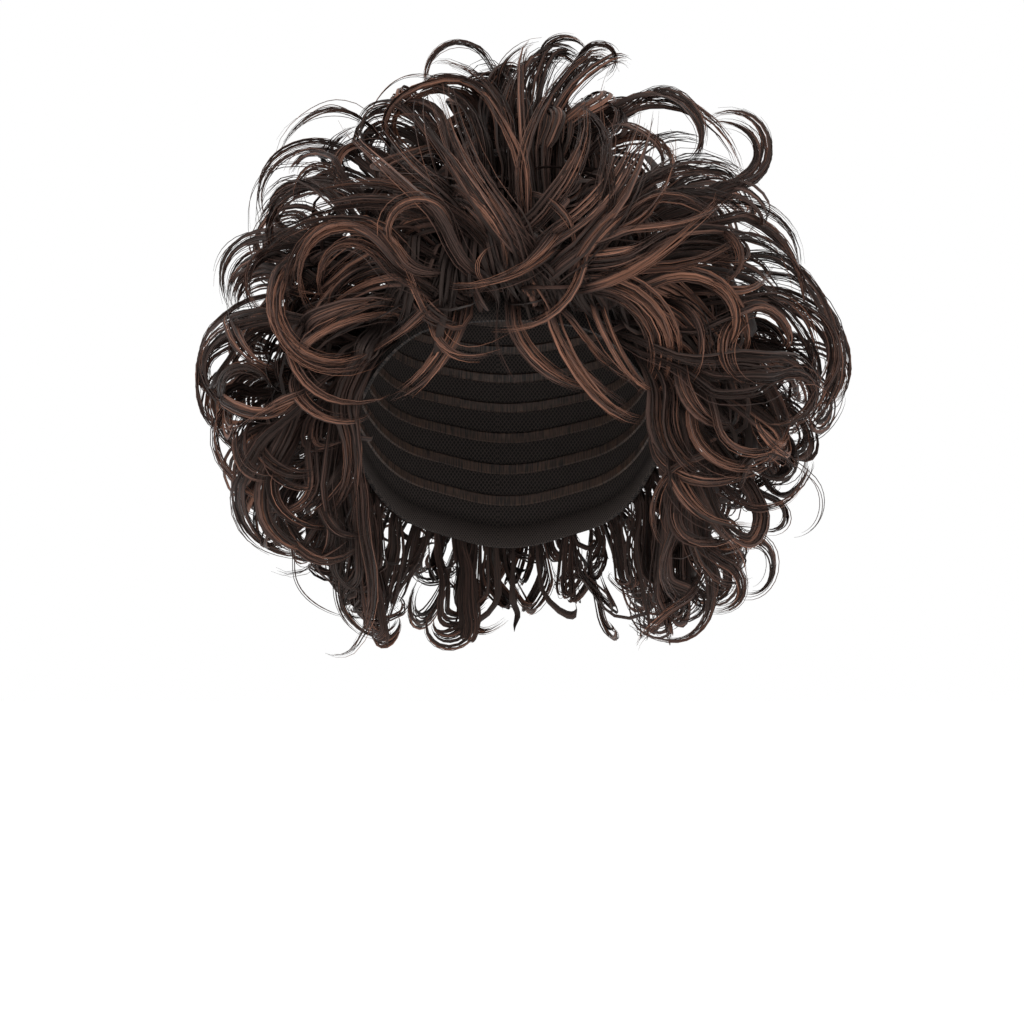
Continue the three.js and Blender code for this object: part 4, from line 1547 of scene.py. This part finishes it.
@dataclass(frozen=True)
class Cap:
    """The net cap: a thin shell with sewn rows of weft raised inside it and a binding round its rim."""

    dome: Dome
    sectors: int = 96
    rings: int = 42
    rings_per_row: int = 3
    weft_rise: float = 0.9 * MM
    binding_rings: int = 2
    binding_rise: float = 0.7 * MM
    slope: float = 0.6 * MM

    WEAVE_MAP = "Weave"
    MM_PER_DEGREE = 1.6
    TOP_RING = 0.5
    FACING_INWARD = 0.8
    SMOOTH_BELOW = 50.0
    WEFT, BINDING = 1, 2

    def build(self, materials: tuple[bpy.types.Material, ...]) -> bpy.types.Object:
        """Models the shell from its rim up, then raises the rows and the binding.

        Args:
            materials: The finishes of the net, the rows of weft and the binding.

        Returns:
            The cap at the origin, with a map of its weave in millimetres.
        """
        deselect_all()
        bpy.ops.mesh.primitive_circle_add(vertices=self.sectors, radius=self.dome.half_width)
        cap = bpy.context.active_object
        cap.name = "cap_net"
        for material in materials:
            cap.data.materials.append(material)
        bpy.ops.object.mode_set(mode="EDIT")
        bpy.ops.transform.resize(value=(1.0, self.dome.half_length / self.dome.half_width, 1.0))
        for ring in range(self.rings, 0, -1):
            self._place_ring(cap, ring / self.rings)
            bpy.ops.mesh.extrude_region_move()
        self._place_ring(cap, self.TOP_RING / self.rings)
        bpy.ops.mesh.merge(type="CENTER")
        bpy.ops.mesh.select_all(action="SELECT")
        bpy.ops.mesh.normals_make_consistent(inside=False)
        bpy.ops.object.mode_set(mode="OBJECT")
        wall = cap.modifiers.new("wall", "SOLIDIFY")
        wall.thickness = self.dome.wall
        wall.offset = 1.0
        bpy.ops.object.modifier_apply(modifier=wall.name)
        last_net_ring = self.rings - self.binding_rings
        rows = set(range(1, last_net_ring - 1, self.rings_per_row))
        self._raise(cap, rows, self.WEFT, self.weft_rise)
        self._raise(cap, set(range(last_net_ring, self.rings)), self.BINDING, self.binding_rise)
        bpy.ops.object.shade_smooth_by_angle(angle=math.radians(self.SMOOTH_BELOW))
        self._map_weave(cap.data)
        return cap

    def _place_ring(self, cap: bpy.types.Object, share: float) -> None:
        """Moves the selected ring of corners to its level.

        Args:
            cap: The shell, in edit mode.
            share: The level, as a share of the way from the crown to the rim.
        """
        shape = bmesh.from_edit_mesh(cap.data)
        for corner in [vertex for vertex in shape.verts if vertex.select]:
            turn = math.atan2(corner.co.x / self.dome.half_width, -corner.co.y / self.dome.half_length)
            azimuth = math.degrees(turn)
            corner.co = self.dome.point(azimuth, share * self.dome.rim_polar(azimuth), 0.0)
        bmesh.update_edit_mesh(cap.data)

    def _raise(self, cap: bpy.types.Object, rings: set[int], material: int, rise: float) -> None:
        """Raises some rings of faces on the inside of the shell.

        Args:
            cap: The shell.
            rings: Which rings, counted from 0 at the crown.
            material: The number of their finish.
            rise: How far they rise inwards.
        """
        bpy.ops.object.mode_set(mode="EDIT")
        bpy.ops.mesh.select_all(action="DESELECT")
        shape = bmesh.from_edit_mesh(cap.data)
        faces = list(shape.faces)
        azimuth, polar, _ = self.dome.place_of(np.array([face.calc_center_median() for face in faces]))
        inward = -self.dome.normal(azimuth, polar)
        ring = (polar / self.dome.rim_polar(azimuth) * self.rings).astype(int)
        for face, number, direction in zip(faces, ring, inward):
            if number in rings and face.normal.dot(Vector(direction)) > self.FACING_INWARD:
                face.select_set(True)
                face.material_index = material
        bmesh.update_edit_mesh(cap.data)
        bpy.ops.mesh.inset(thickness=self.slope, depth=rise)
        bpy.ops.object.mode_set(mode="OBJECT")

    def _map_weave(self, mesh: bpy.types.Mesh) -> None:
        """Maps the shell by its azimuths and polar angles, turned to millimetres.

        Args:
            mesh: The shell's mesh.
        """
        corners = np.array([vertex.co for vertex in mesh.vertices])
        azimuth, polar, _ = self.dome.place_of(corners)
        layer = mesh.uv_layers.new(name=self.WEAVE_MAP)
        for polygon in mesh.polygons:
            turns = azimuth[list(polygon.vertices)]
            turns = np.where(turns < turns.max() - 180.0, turns + 360.0, turns)
            for loop, turn, vertex in zip(polygon.loop_indices, turns, polygon.vertices):
                layer.uv[loop].vector = (turn * self.MM_PER_DEGREE, polar[vertex] * self.MM_PER_DEGREE)


def add_sockets(tree: NodeTree, inputs: tuple[str, ...], outputs: dict[str, str]) -> None:
    """Gives a node group its sockets.

    Args:
        tree: The group.
        inputs: Names of its inputs, which are all numbers.
        outputs: Names and socket types of its outputs.
    """
    for name in inputs:
        tree.interface.new_socket(name=name, in_out="INPUT", socket_type="NodeSocketFloat")
    for name, kind in outputs.items():
        tree.interface.new_socket(name=name, in_out="OUTPUT", socket_type=kind)


def add_math(tree: NodeTree, operation: str, *values: float | Socket, clamp: bool = False) -> Socket:
    """Adds a Math node.

    Args:
        tree: The tree that it goes in.
        operation: What it does.
        values: Its inputs, as numbers or as sockets to link.
        clamp: Whether its result stays between 0 and 1.

    Returns:
        Its result.
    """
    node = tree.nodes.new("ShaderNodeMath")
    node.operation = operation
    node.use_clamp = clamp
    for socket, value in zip(node.inputs, values):
        if isinstance(value, Socket):
            tree.links.new(value, socket)
        else:
            socket.default_value = value
    return node.outputs["Value"]


def add_range(tree: NodeTree, value: Socket, source: Range, target: Range) -> Socket:
    """Adds a Map Range node with a smooth rise.

    Args:
        tree: The tree that it goes in.
        value: What it reads.
        source: The values from and to which it reads.
        target: The values that it gives for them.

    Returns:
        Its result.
    """
    node = tree.nodes.new("ShaderNodeMapRange")
    node.interpolation_type = "SMOOTHSTEP"
    tree.links.new(value, node.inputs["Value"])
    for name, number in zip(("From Min", "From Max", "To Min", "To Max"), source + target):
        node.inputs[name].default_value = number
    return node.outputs["Result"]


def add_noise(tree: NodeTree, map_name: str, scale: Triple, detail: float) -> Socket:
    """Adds flat noise on one of a piece's maps.

    Args:
        tree: The tree that it goes in.
        map_name: The map.
        scale: How the map is stretched first.
        detail: How much fine noise there is.

    Returns:
        The noise, about 0.5.
    """
    flat = tree.nodes.new("ShaderNodeUVMap")
    flat.uv_map = map_name
    stretch = tree.nodes.new("ShaderNodeMapping")
    stretch.inputs["Scale"].default_value = scale
    noise = tree.nodes.new("ShaderNodeTexNoise")
    noise.noise_dimensions = "2D"
    noise.inputs["Scale"].default_value = 1.0
    noise.inputs["Detail"].default_value = detail
    tree.links.new(flat.outputs["UV"], stretch.inputs["Vector"])
    tree.links.new(stretch.outputs["Vector"], noise.inputs["Vector"])
    return noise.outputs["Fac"]


def add_ramp(tree: NodeTree, value: Socket, stops: tuple[tuple[float, Color], ...]) -> Socket:
    """Adds a colour ramp.

    Args:
        tree: The tree that it goes in.
        value: What it reads.
        stops: Places and colours, in order.

    Returns:
        Its colour.
    """
    node = tree.nodes.new("ShaderNodeValToRGB")
    ramp = node.color_ramp
    for _ in range(len(stops) - len(ramp.elements)):
        ramp.elements.new(0.5)
    for element, (place, color) in zip(ramp.elements, stops):
        element.position = place
        element.color = color
    tree.links.new(value, node.inputs["Fac"])
    return node.outputs["Color"]


def add_bump(tree: NodeTree, height: Socket, strength: float, distance: float) -> None:
    """Adds a Bump node that feeds the shader's normal.

    Args:
        tree: The material's tree.
        height: The height that it reads.
        strength: Its strength.
        distance: Its distance.
    """
    bump = tree.nodes.new("ShaderNodeBump")
    bump.inputs["Strength"].default_value = strength
    bump.inputs["Distance"].default_value = distance
    tree.links.new(height, bump.inputs["Height"])
    tree.links.new(bump.outputs["Normal"], tree.nodes["Principled BSDF"].inputs["Normal"])


def new_material(name: str) -> bpy.types.Material:
    """Makes a material with a Principled shader.

    Args:
        name: Its name.

    Returns:
        The material.
    """
    made = bpy.data.materials.new(name)
    made.use_nodes = True
    return made


@dataclass(frozen=True)
class HairFinish:
    """Near-black brown synthetic hair with auburn strands that are partly painted highlight, a soft gloss,
    and painted shade deep in the hair and towards the roots.
    """

    dark: Color = (0.0125, 0.0092, 0.0085, 1.0)
    brown: Color = (0.047, 0.0265, 0.0215, 1.0)
    # The auburn end of the ramp is partly the hair's colour and partly painted highlight.
    auburn_and_sheen: Color = (0.158, 0.073, 0.047, 1.0)
    specular: float = 0.14
    specular_tint: Color = (1.0, 0.76, 0.64, 1.0)
    bump: float = 0.7
    bump_distance: float = 0.15 * MM
    hair_stretch: Triple = (1.0, 0.02, 1.0)
    wisp_stretch: Triple = (0.36, 0.012, 1.0)
    hair_weight: float = 1.5
    fibre_contrast: Range = (1.02, 1.52)
    fibre_warmth: float = 0.7
    tone_shift: float = -0.36
    lit_rises: Range = (0.3, 0.95)
    deep_light: float = 0.75
    brown_place: float = 0.45
    unlit_roughness: float = 1.2
    lit_gloss: float = -0.8
    fibre_roughness: float = 0.15

    def group(self) -> NodeTree:
        """Builds the group that colours fibres by their tone, with painted shade where they lie deep in the
        hair.

        Returns:
            A node group with inputs Tone and Rise and outputs Color, Roughness and Height.
        """
        tree = bpy.data.node_groups.new("fibre_shade", "ShaderNodeTree")
        number = "NodeSocketFloat"
        outputs = {"Color": "NodeSocketColor", "Roughness": number, "Height": number}
        add_sockets(tree, ("Tone", "Rise"), outputs)
        given, result = tree.nodes.new("NodeGroupInput"), tree.nodes.new("NodeGroupOutput")
        hairs = add_noise(tree, FibreMesh.FLOW_MAP, self.hair_stretch, 1.0)
        wisps = add_noise(tree, FibreMesh.FLOW_MAP, self.wisp_stretch, 0.0)
        both = add_math(tree, "MULTIPLY_ADD", hairs, self.hair_weight, wisps)
        fibre = add_range(tree, both, self.fibre_contrast, (0.0, 1.0))
        tone = add_math(tree, "ADD", given.outputs["Tone"], self.tone_shift)
        warmth = add_math(tree, "MULTIPLY_ADD", fibre, self.fibre_warmth, tone)
        # Painted shade: fibres deep in the hair get a darker colour, standing in for the shade there.
        lit = add_range(tree, given.outputs["Rise"], self.lit_rises, (self.deep_light, 1.0))
        shaded = add_math(tree, "MULTIPLY", warmth, lit, clamp=True)
        stops = (0.0, self.dark), (self.brown_place, self.brown), (1.0, self.auburn_and_sheen)
        tree.links.new(add_ramp(tree, shaded, stops), result.inputs["Color"])
        dull = add_math(tree, "MULTIPLY_ADD", lit, self.lit_gloss, self.unlit_roughness)
        rough = add_math(tree, "MULTIPLY_ADD", fibre, self.fibre_roughness, dull)
        tree.links.new(rough, result.inputs["Roughness"])
        tree.links.new(fibre, result.inputs["Height"])
        return tree

    def material(self) -> bpy.types.Material:
        """Builds the hair's material.

        Returns:
            A material that reads the attributes tone and rise and the flow map.
        """
        made = new_material("curled_hair")
        tree = made.node_tree
        shader = tree.nodes["Principled BSDF"]
        shader.inputs["Specular IOR Level"].default_value = self.specular
        shader.inputs["Specular Tint"].default_value = self.specular_tint
        shade = tree.nodes.new("ShaderNodeGroup")
        shade.node_tree = self.group()
        for attribute, socket in (("tone", "Tone"), ("rise", "Rise")):
            reader = tree.nodes.new("ShaderNodeAttribute")
            reader.attribute_name = attribute
            tree.links.new(reader.outputs["Fac"], shade.inputs[socket])
        tree.links.new(shade.outputs["Color"], shader.inputs["Base Color"])
        tree.links.new(shade.outputs["Roughness"], shader.inputs["Roughness"])
        add_bump(tree, shade.outputs["Height"], self.bump, self.bump_distance)
        return made


@dataclass(frozen=True)
class CapFinishes:
    """Dark stretch net, the rows of weft sewn on it, and the close-woven binding of its rim."""

    gap: Color = (0.004, 0.0035, 0.0035, 1.0)
    thread: Color = (0.030, 0.023, 0.020, 1.0)
    weft_dark: Color = (0.008, 0.006, 0.0055, 1.0)
    weft_brown: Color = (0.045, 0.026, 0.018, 1.0)
    net_cell: float = 1.7
    net_thread: float = 0.16
    binding_cell: float = 1.2
    binding_thread: float = 0.24
    roughness: float = 0.85
    specular: float = 0.15
    thread_turn: float = 45.0
    unevenness: float = 0.15
    thread_edge: Range = (0.6, 1.0)
    weave_bump: float = 0.6
    weft_bump: float = 0.5
    bump_distance: float = 0.3 * MM
    weft_specular: float = 0.25
    weft_stretch: Triple = (1.6, 0.12, 1.0)
    weft_detail: float = 2.0
    weft_contrast: Range = (0.35, 0.65)
    weft_roughness: Range = (0.6, 0.42)

    def group(self) -> NodeTree:
        """Builds the group that draws crossing threads.

        Returns:
            A node group with inputs Cell in millimetres and Thread, as a share of it, and output Mask.
        """
        tree = bpy.data.node_groups.new("crossing_threads", "ShaderNodeTree")
        add_sockets(tree, ("Cell", "Thread"), {"Mask": "NodeSocketFloat"})
        given, result = tree.nodes.new("NodeGroupInput"), tree.nodes.new("NodeGroupOutput")
        flat = tree.nodes.new("ShaderNodeUVMap")
        flat.uv_map = Cap.WEAVE_MAP
        turned = tree.nodes.new("ShaderNodeMapping")
        turned.inputs["Rotation"].default_value = (0.0, 0.0, math.radians(self.thread_turn))
        cells = tree.nodes.new("ShaderNodeTexVoronoi")
        cells.voronoi_dimensions = "2D"
        cells.feature = "DISTANCE_TO_EDGE"
        cells.inputs["Randomness"].default_value = self.unevenness
        tree.links.new(flat.outputs["UV"], turned.inputs["Vector"])
        tree.links.new(turned.outputs["Vector"], cells.inputs["Vector"])
        tree.links.new(add_math(tree, "DIVIDE", 1.0, given.outputs["Cell"]), cells.inputs["Scale"])
        across = add_math(tree, "DIVIDE", cells.outputs["Distance"], given.outputs["Thread"])
        mask = add_range(tree, across, self.thread_edge, (1.0, 0.0))
        tree.links.new(mask, result.inputs["Mask"])
        return tree

    def woven(self, name: str, group: NodeTree, cell: float, thread: float) -> bpy.types.Material:
        """Builds a material of crossing threads.

        Args:
            name: Its name.
            group: The group that draws the threads.
            cell: The distance between them, in millimetres.
            thread: Their half width, as a share of that distance.

        Returns:
            The material.
        """
        made = new_material(name)
        tree = made.node_tree
        shader = tree.nodes["Principled BSDF"]
        shader.inputs["Roughness"].default_value = self.roughness
        shader.inputs["Specular IOR Level"].default_value = self.specular
        weave = tree.nodes.new("ShaderNodeGroup")
        weave.node_tree = group
        weave.inputs["Cell"].default_value = cell
        weave.inputs["Thread"].default_value = thread
        mask = weave.outputs["Mask"]
        color = add_ramp(tree, mask, ((0.0, self.gap), (1.0, self.thread)))
        tree.links.new(color, shader.inputs["Base Color"])
        add_bump(tree, mask, self.weave_bump, self.bump_distance)
        return made

    def weft(self) -> bpy.types.Material:
        """Builds the material of the rows of weft, whose hairs lie across the row.

        Returns:
            The material.
        """
        made = new_material("sewn_weft")
        tree = made.node_tree
        shader = tree.nodes["Principled BSDF"]
        shader.inputs["Specular IOR Level"].default_value = self.weft_specular
        grain = add_noise(tree, Cap.WEAVE_MAP, self.weft_stretch, self.weft_detail)
        hairs = add_range(tree, grain, self.weft_contrast, (0.0, 1.0))
        color = add_ramp(tree, hairs, ((0.0, self.weft_dark), (1.0, self.weft_brown)))
        tree.links.new(color, shader.inputs["Base Color"])
        rough = add_range(tree, hairs, (0.0, 1.0), self.weft_roughness)
        tree.links.new(rough, shader.inputs["Roughness"])
        add_bump(tree, hairs, self.weft_bump, self.bump_distance)
        return made

    def materials(self) -> tuple[bpy.types.Material, ...]:
        """Builds the finishes of the net, the rows of weft and the binding."""
        group = self.group()
        return (
            self.woven("stretch_net", group, self.net_cell, self.net_thread),
            self.weft(),
            self.woven("rim_binding", group, self.binding_cell, self.binding_thread),
        )


@dataclass(frozen=True)
class PhotoView:
    """The camera: level, in front of the opening."""

    place: Triple = (2.3 * MM, -1705.0 * MM, -145.0 * MM)
    front_plane: float = -105.0 * MM
    seen_width: float = 476.0 * MM
    sensor: float = 36.0
    pixels: int = 1024

    def build(self) -> None:
        """Adds the camera and makes it the scene's."""
        camera = bpy.data.cameras.new("photo_view")
        camera.sensor_width = self.sensor
        camera.lens = self.sensor * (self.front_plane - self.place[1]) / self.seen_width
        made = new_object("photo_view", camera)
        made.location = self.place
        made.rotation_euler = (math.radians(90.0), 0.0, 0.0)
        bpy.context.scene.camera = made

    def sights(self, pixels: Array) -> tuple[Array, Array]:
        """Gives the lines of sight through pixels of the photograph.

        Args:
            pixels: Their places from the left and from the top, one in each row.

        Returns:
            The camera's place, and a direction for each pixel with a length of 1 along Y.
        """
        scale = self.seen_width / self.pixels / (self.front_plane - self.place[1])
        right, down = (pixels - self.pixels / 2).T * scale
        return np.array(self.place), np.stack([right, np.ones(len(pixels)), -down], axis=-1)


@dataclass(frozen=True)
class AreaLamp:
    """One soft studio lamp, aimed at the wig."""

    name: str
    place: Triple
    size: float
    power: float

    def build(self, aim: Vector) -> None:
        """Adds the lamp.

        Args:
            aim: The point that it faces.
        """
        light = bpy.data.lights.new(self.name, "AREA")
        light.size = self.size
        light.energy = self.power
        made = new_object(self.name, light)
        made.location = self.place
        made.rotation_euler = (aim - Vector(self.place)).to_track_quat("-Z", "Y").to_euler()


@dataclass(frozen=True)
class Studio:
    """A white floor in a white room, with soft lamps."""

    floor_level: float = -0.46
    floor_size: float = 8.0
    world_strength: float = 1.0
    floor_color: Color = (0.95, 0.95, 0.95, 1.0)
    floor_glow: float = 0.3
    floor_roughness: float = 0.9
    world_color: Color = (1.0, 1.0, 1.0, 1.0)
    aim: Triple = (0.0, 0.0, -0.07)
    lamps: tuple[AreaLamp, ...] = (
        AreaLamp("key", (-1.0, -1.8, 1.1), 1.1, 34.0),
        AreaLamp("fill", (1.4, -1.6, 0.5), 1.2, 20.0),
        AreaLamp("top", (0.1, 0.2, 1.7), 1.0, 14.0),
    )

    def build(self) -> None:
        """Adds the floor, the world and the lamps."""
        deselect_all()
        bpy.ops.mesh.primitive_plane_add(size=self.floor_size, location=(0.0, 0.0, self.floor_level))
        floor = bpy.context.active_object
        floor.name = "floor"
        finish = new_material("pale_floor")
        shader = finish.node_tree.nodes["Principled BSDF"]
        shader.inputs["Base Color"].default_value = self.floor_color
        shader.inputs["Roughness"].default_value = self.floor_roughness
        shader.inputs["Emission Color"].default_value = self.floor_color
        shader.inputs["Emission Strength"].default_value = self.floor_glow
        floor.data.materials.append(finish)
        world = bpy.data.worlds.new("white_room")
        world.use_nodes = True
        back = world.node_tree.nodes["Background"]
        back.inputs["Color"].default_value = self.world_color
        back.inputs["Strength"].default_value = self.world_strength
        bpy.context.scene.world = world
        for lamp in self.lamps:
            lamp.build(Vector(self.aim))
        bpy.context.scene.view_settings.view_transform = "Standard"


def seat(piece: bpy.types.Object, node: str) -> None:
    """Gives a piece its place in the frame.

    Args:
        piece: The finished piece.
        node: The solid that it stands for.
    """
    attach(piece, BODY)
    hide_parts(node)
    triangles = sum(len(polygon.vertices) - 2 for polygon in piece.data.polygons)
    LOG.info("%s: %d triangles", piece.name, triangles)


class Hair:
    """All the hair: a mesh of curls for each tuft and each fringe lock."""

    FILL_SEED, SEEN_SEED, FRINGE_SEED, HAIRLINE_SEED = range(4)
    MORE_BEHIND = 0.3

    def __init__(self, dome: Dome, view: PhotoView) -> None:
        """Reads the outer form of the tufts from the frame.

        Args:
            dome: The form that carries the roots.
            view: The camera, for the locks that show from the front.
        """
        tufts = [node for name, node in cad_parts.items() if "_tuft_" in name]
        self.dome = dome
        self.view = view
        self.form = OuterForm(dome, tufts)
        self.maker = LockMaker(dome, self.form, Flow(dome))
        self.material = HairFinish().material()

    def build(self) -> None:
        """Fills the tufts, adds the locks that show from the front and hangs the fringe."""
        tufts = self._filled_tufts()
        hairline = Hairline().locks(np.random.default_rng((SEED, self.HAIRLINE_SEED)))
        for number, seen in enumerate(SEEN_LOCKS + hairline):
            rng = np.random.default_rng((SEED, self.SEEN_SEED, number))
            lock, place = self.maker.trace(rng, self.view, seen)
            tufts[self._nearest_tuft(place)].add_lock(lock)
        for node, fibres in tufts.items():
            self._finish(fibres, f"{node}_curls", node)
        for number, fringe in enumerate(FRINGE_LOCKS, start=1):
            fibres = FibreMesh(np.random.default_rng((SEED, self.FRINGE_SEED, number)), self.form)
            fibres.add_lock(fringe.lock(self.dome))
            self._finish(fibres, f"fringe_curl_{number}", f"fringe_lock_{number}")

    def _filled_tufts(self) -> dict[str, FibreMesh]:
        """Draws the locks of every tuft.

        Returns:
            The tufts' fibres by the names of their solids.
        """
        tufts = {}
        for number, tier in enumerate(TIERS):
            for index in range(tier.count):
                rng = np.random.default_rng((SEED, self.FILL_SEED, number, index))
                fibres = FibreMesh(rng, self.form)
                behind = -math.cos(math.radians(sum(tier.cell(index)) / 2))
                locks = round(tier.locks * (1.0 + self.MORE_BEHIND * behind))
                for body, count in ((LockBody.UNDER, tier.under_locks), (LockBody.FILL, locks)):
                    for _ in range(count):
                        fibres.add_lock(self.maker.draw(rng, tier, index, body))
                tufts[f"{tier.name}_{index + 1}"] = fibres
        return tufts

    def _nearest_tuft(self, place: Array) -> str:
        """Names the tuft that lies nearest to a point.

        Args:
            place: The point.

        Returns:
            The name of the tuft's solid.
        """
        azimuth, polar, _ = (float(value[0]) for value in self.dome.place_of(place[None]))
        found = [(*tier.nearest(azimuth, polar), tier.name) for tier in TIERS]
        _, index, name = min(found)
        return f"{name}_{index + 1}"

    def _finish(self, fibres: FibreMesh, name: str, node: str) -> None:
        """Makes a piece of gathered fibres in place of a solid.

        Args:
            fibres: The fibres.
            name: The piece's name.
            node: The solid.
        """
        piece = fibres.make(name)
        piece.data.materials.append(self.material)
        seat(piece, node)


def main() -> None:
    """Builds the wig and its studio."""
    logging.basicConfig(level=logging.INFO, format="%(name)s %(message)s")
    view = PhotoView()
    view.build()
    Studio().build()
    dome = Dome()
    seat(Cap(dome).build(CapFinishes().materials()), "cap")
    Hair(dome, view).build()


if __name__ == "__main__":
    main()
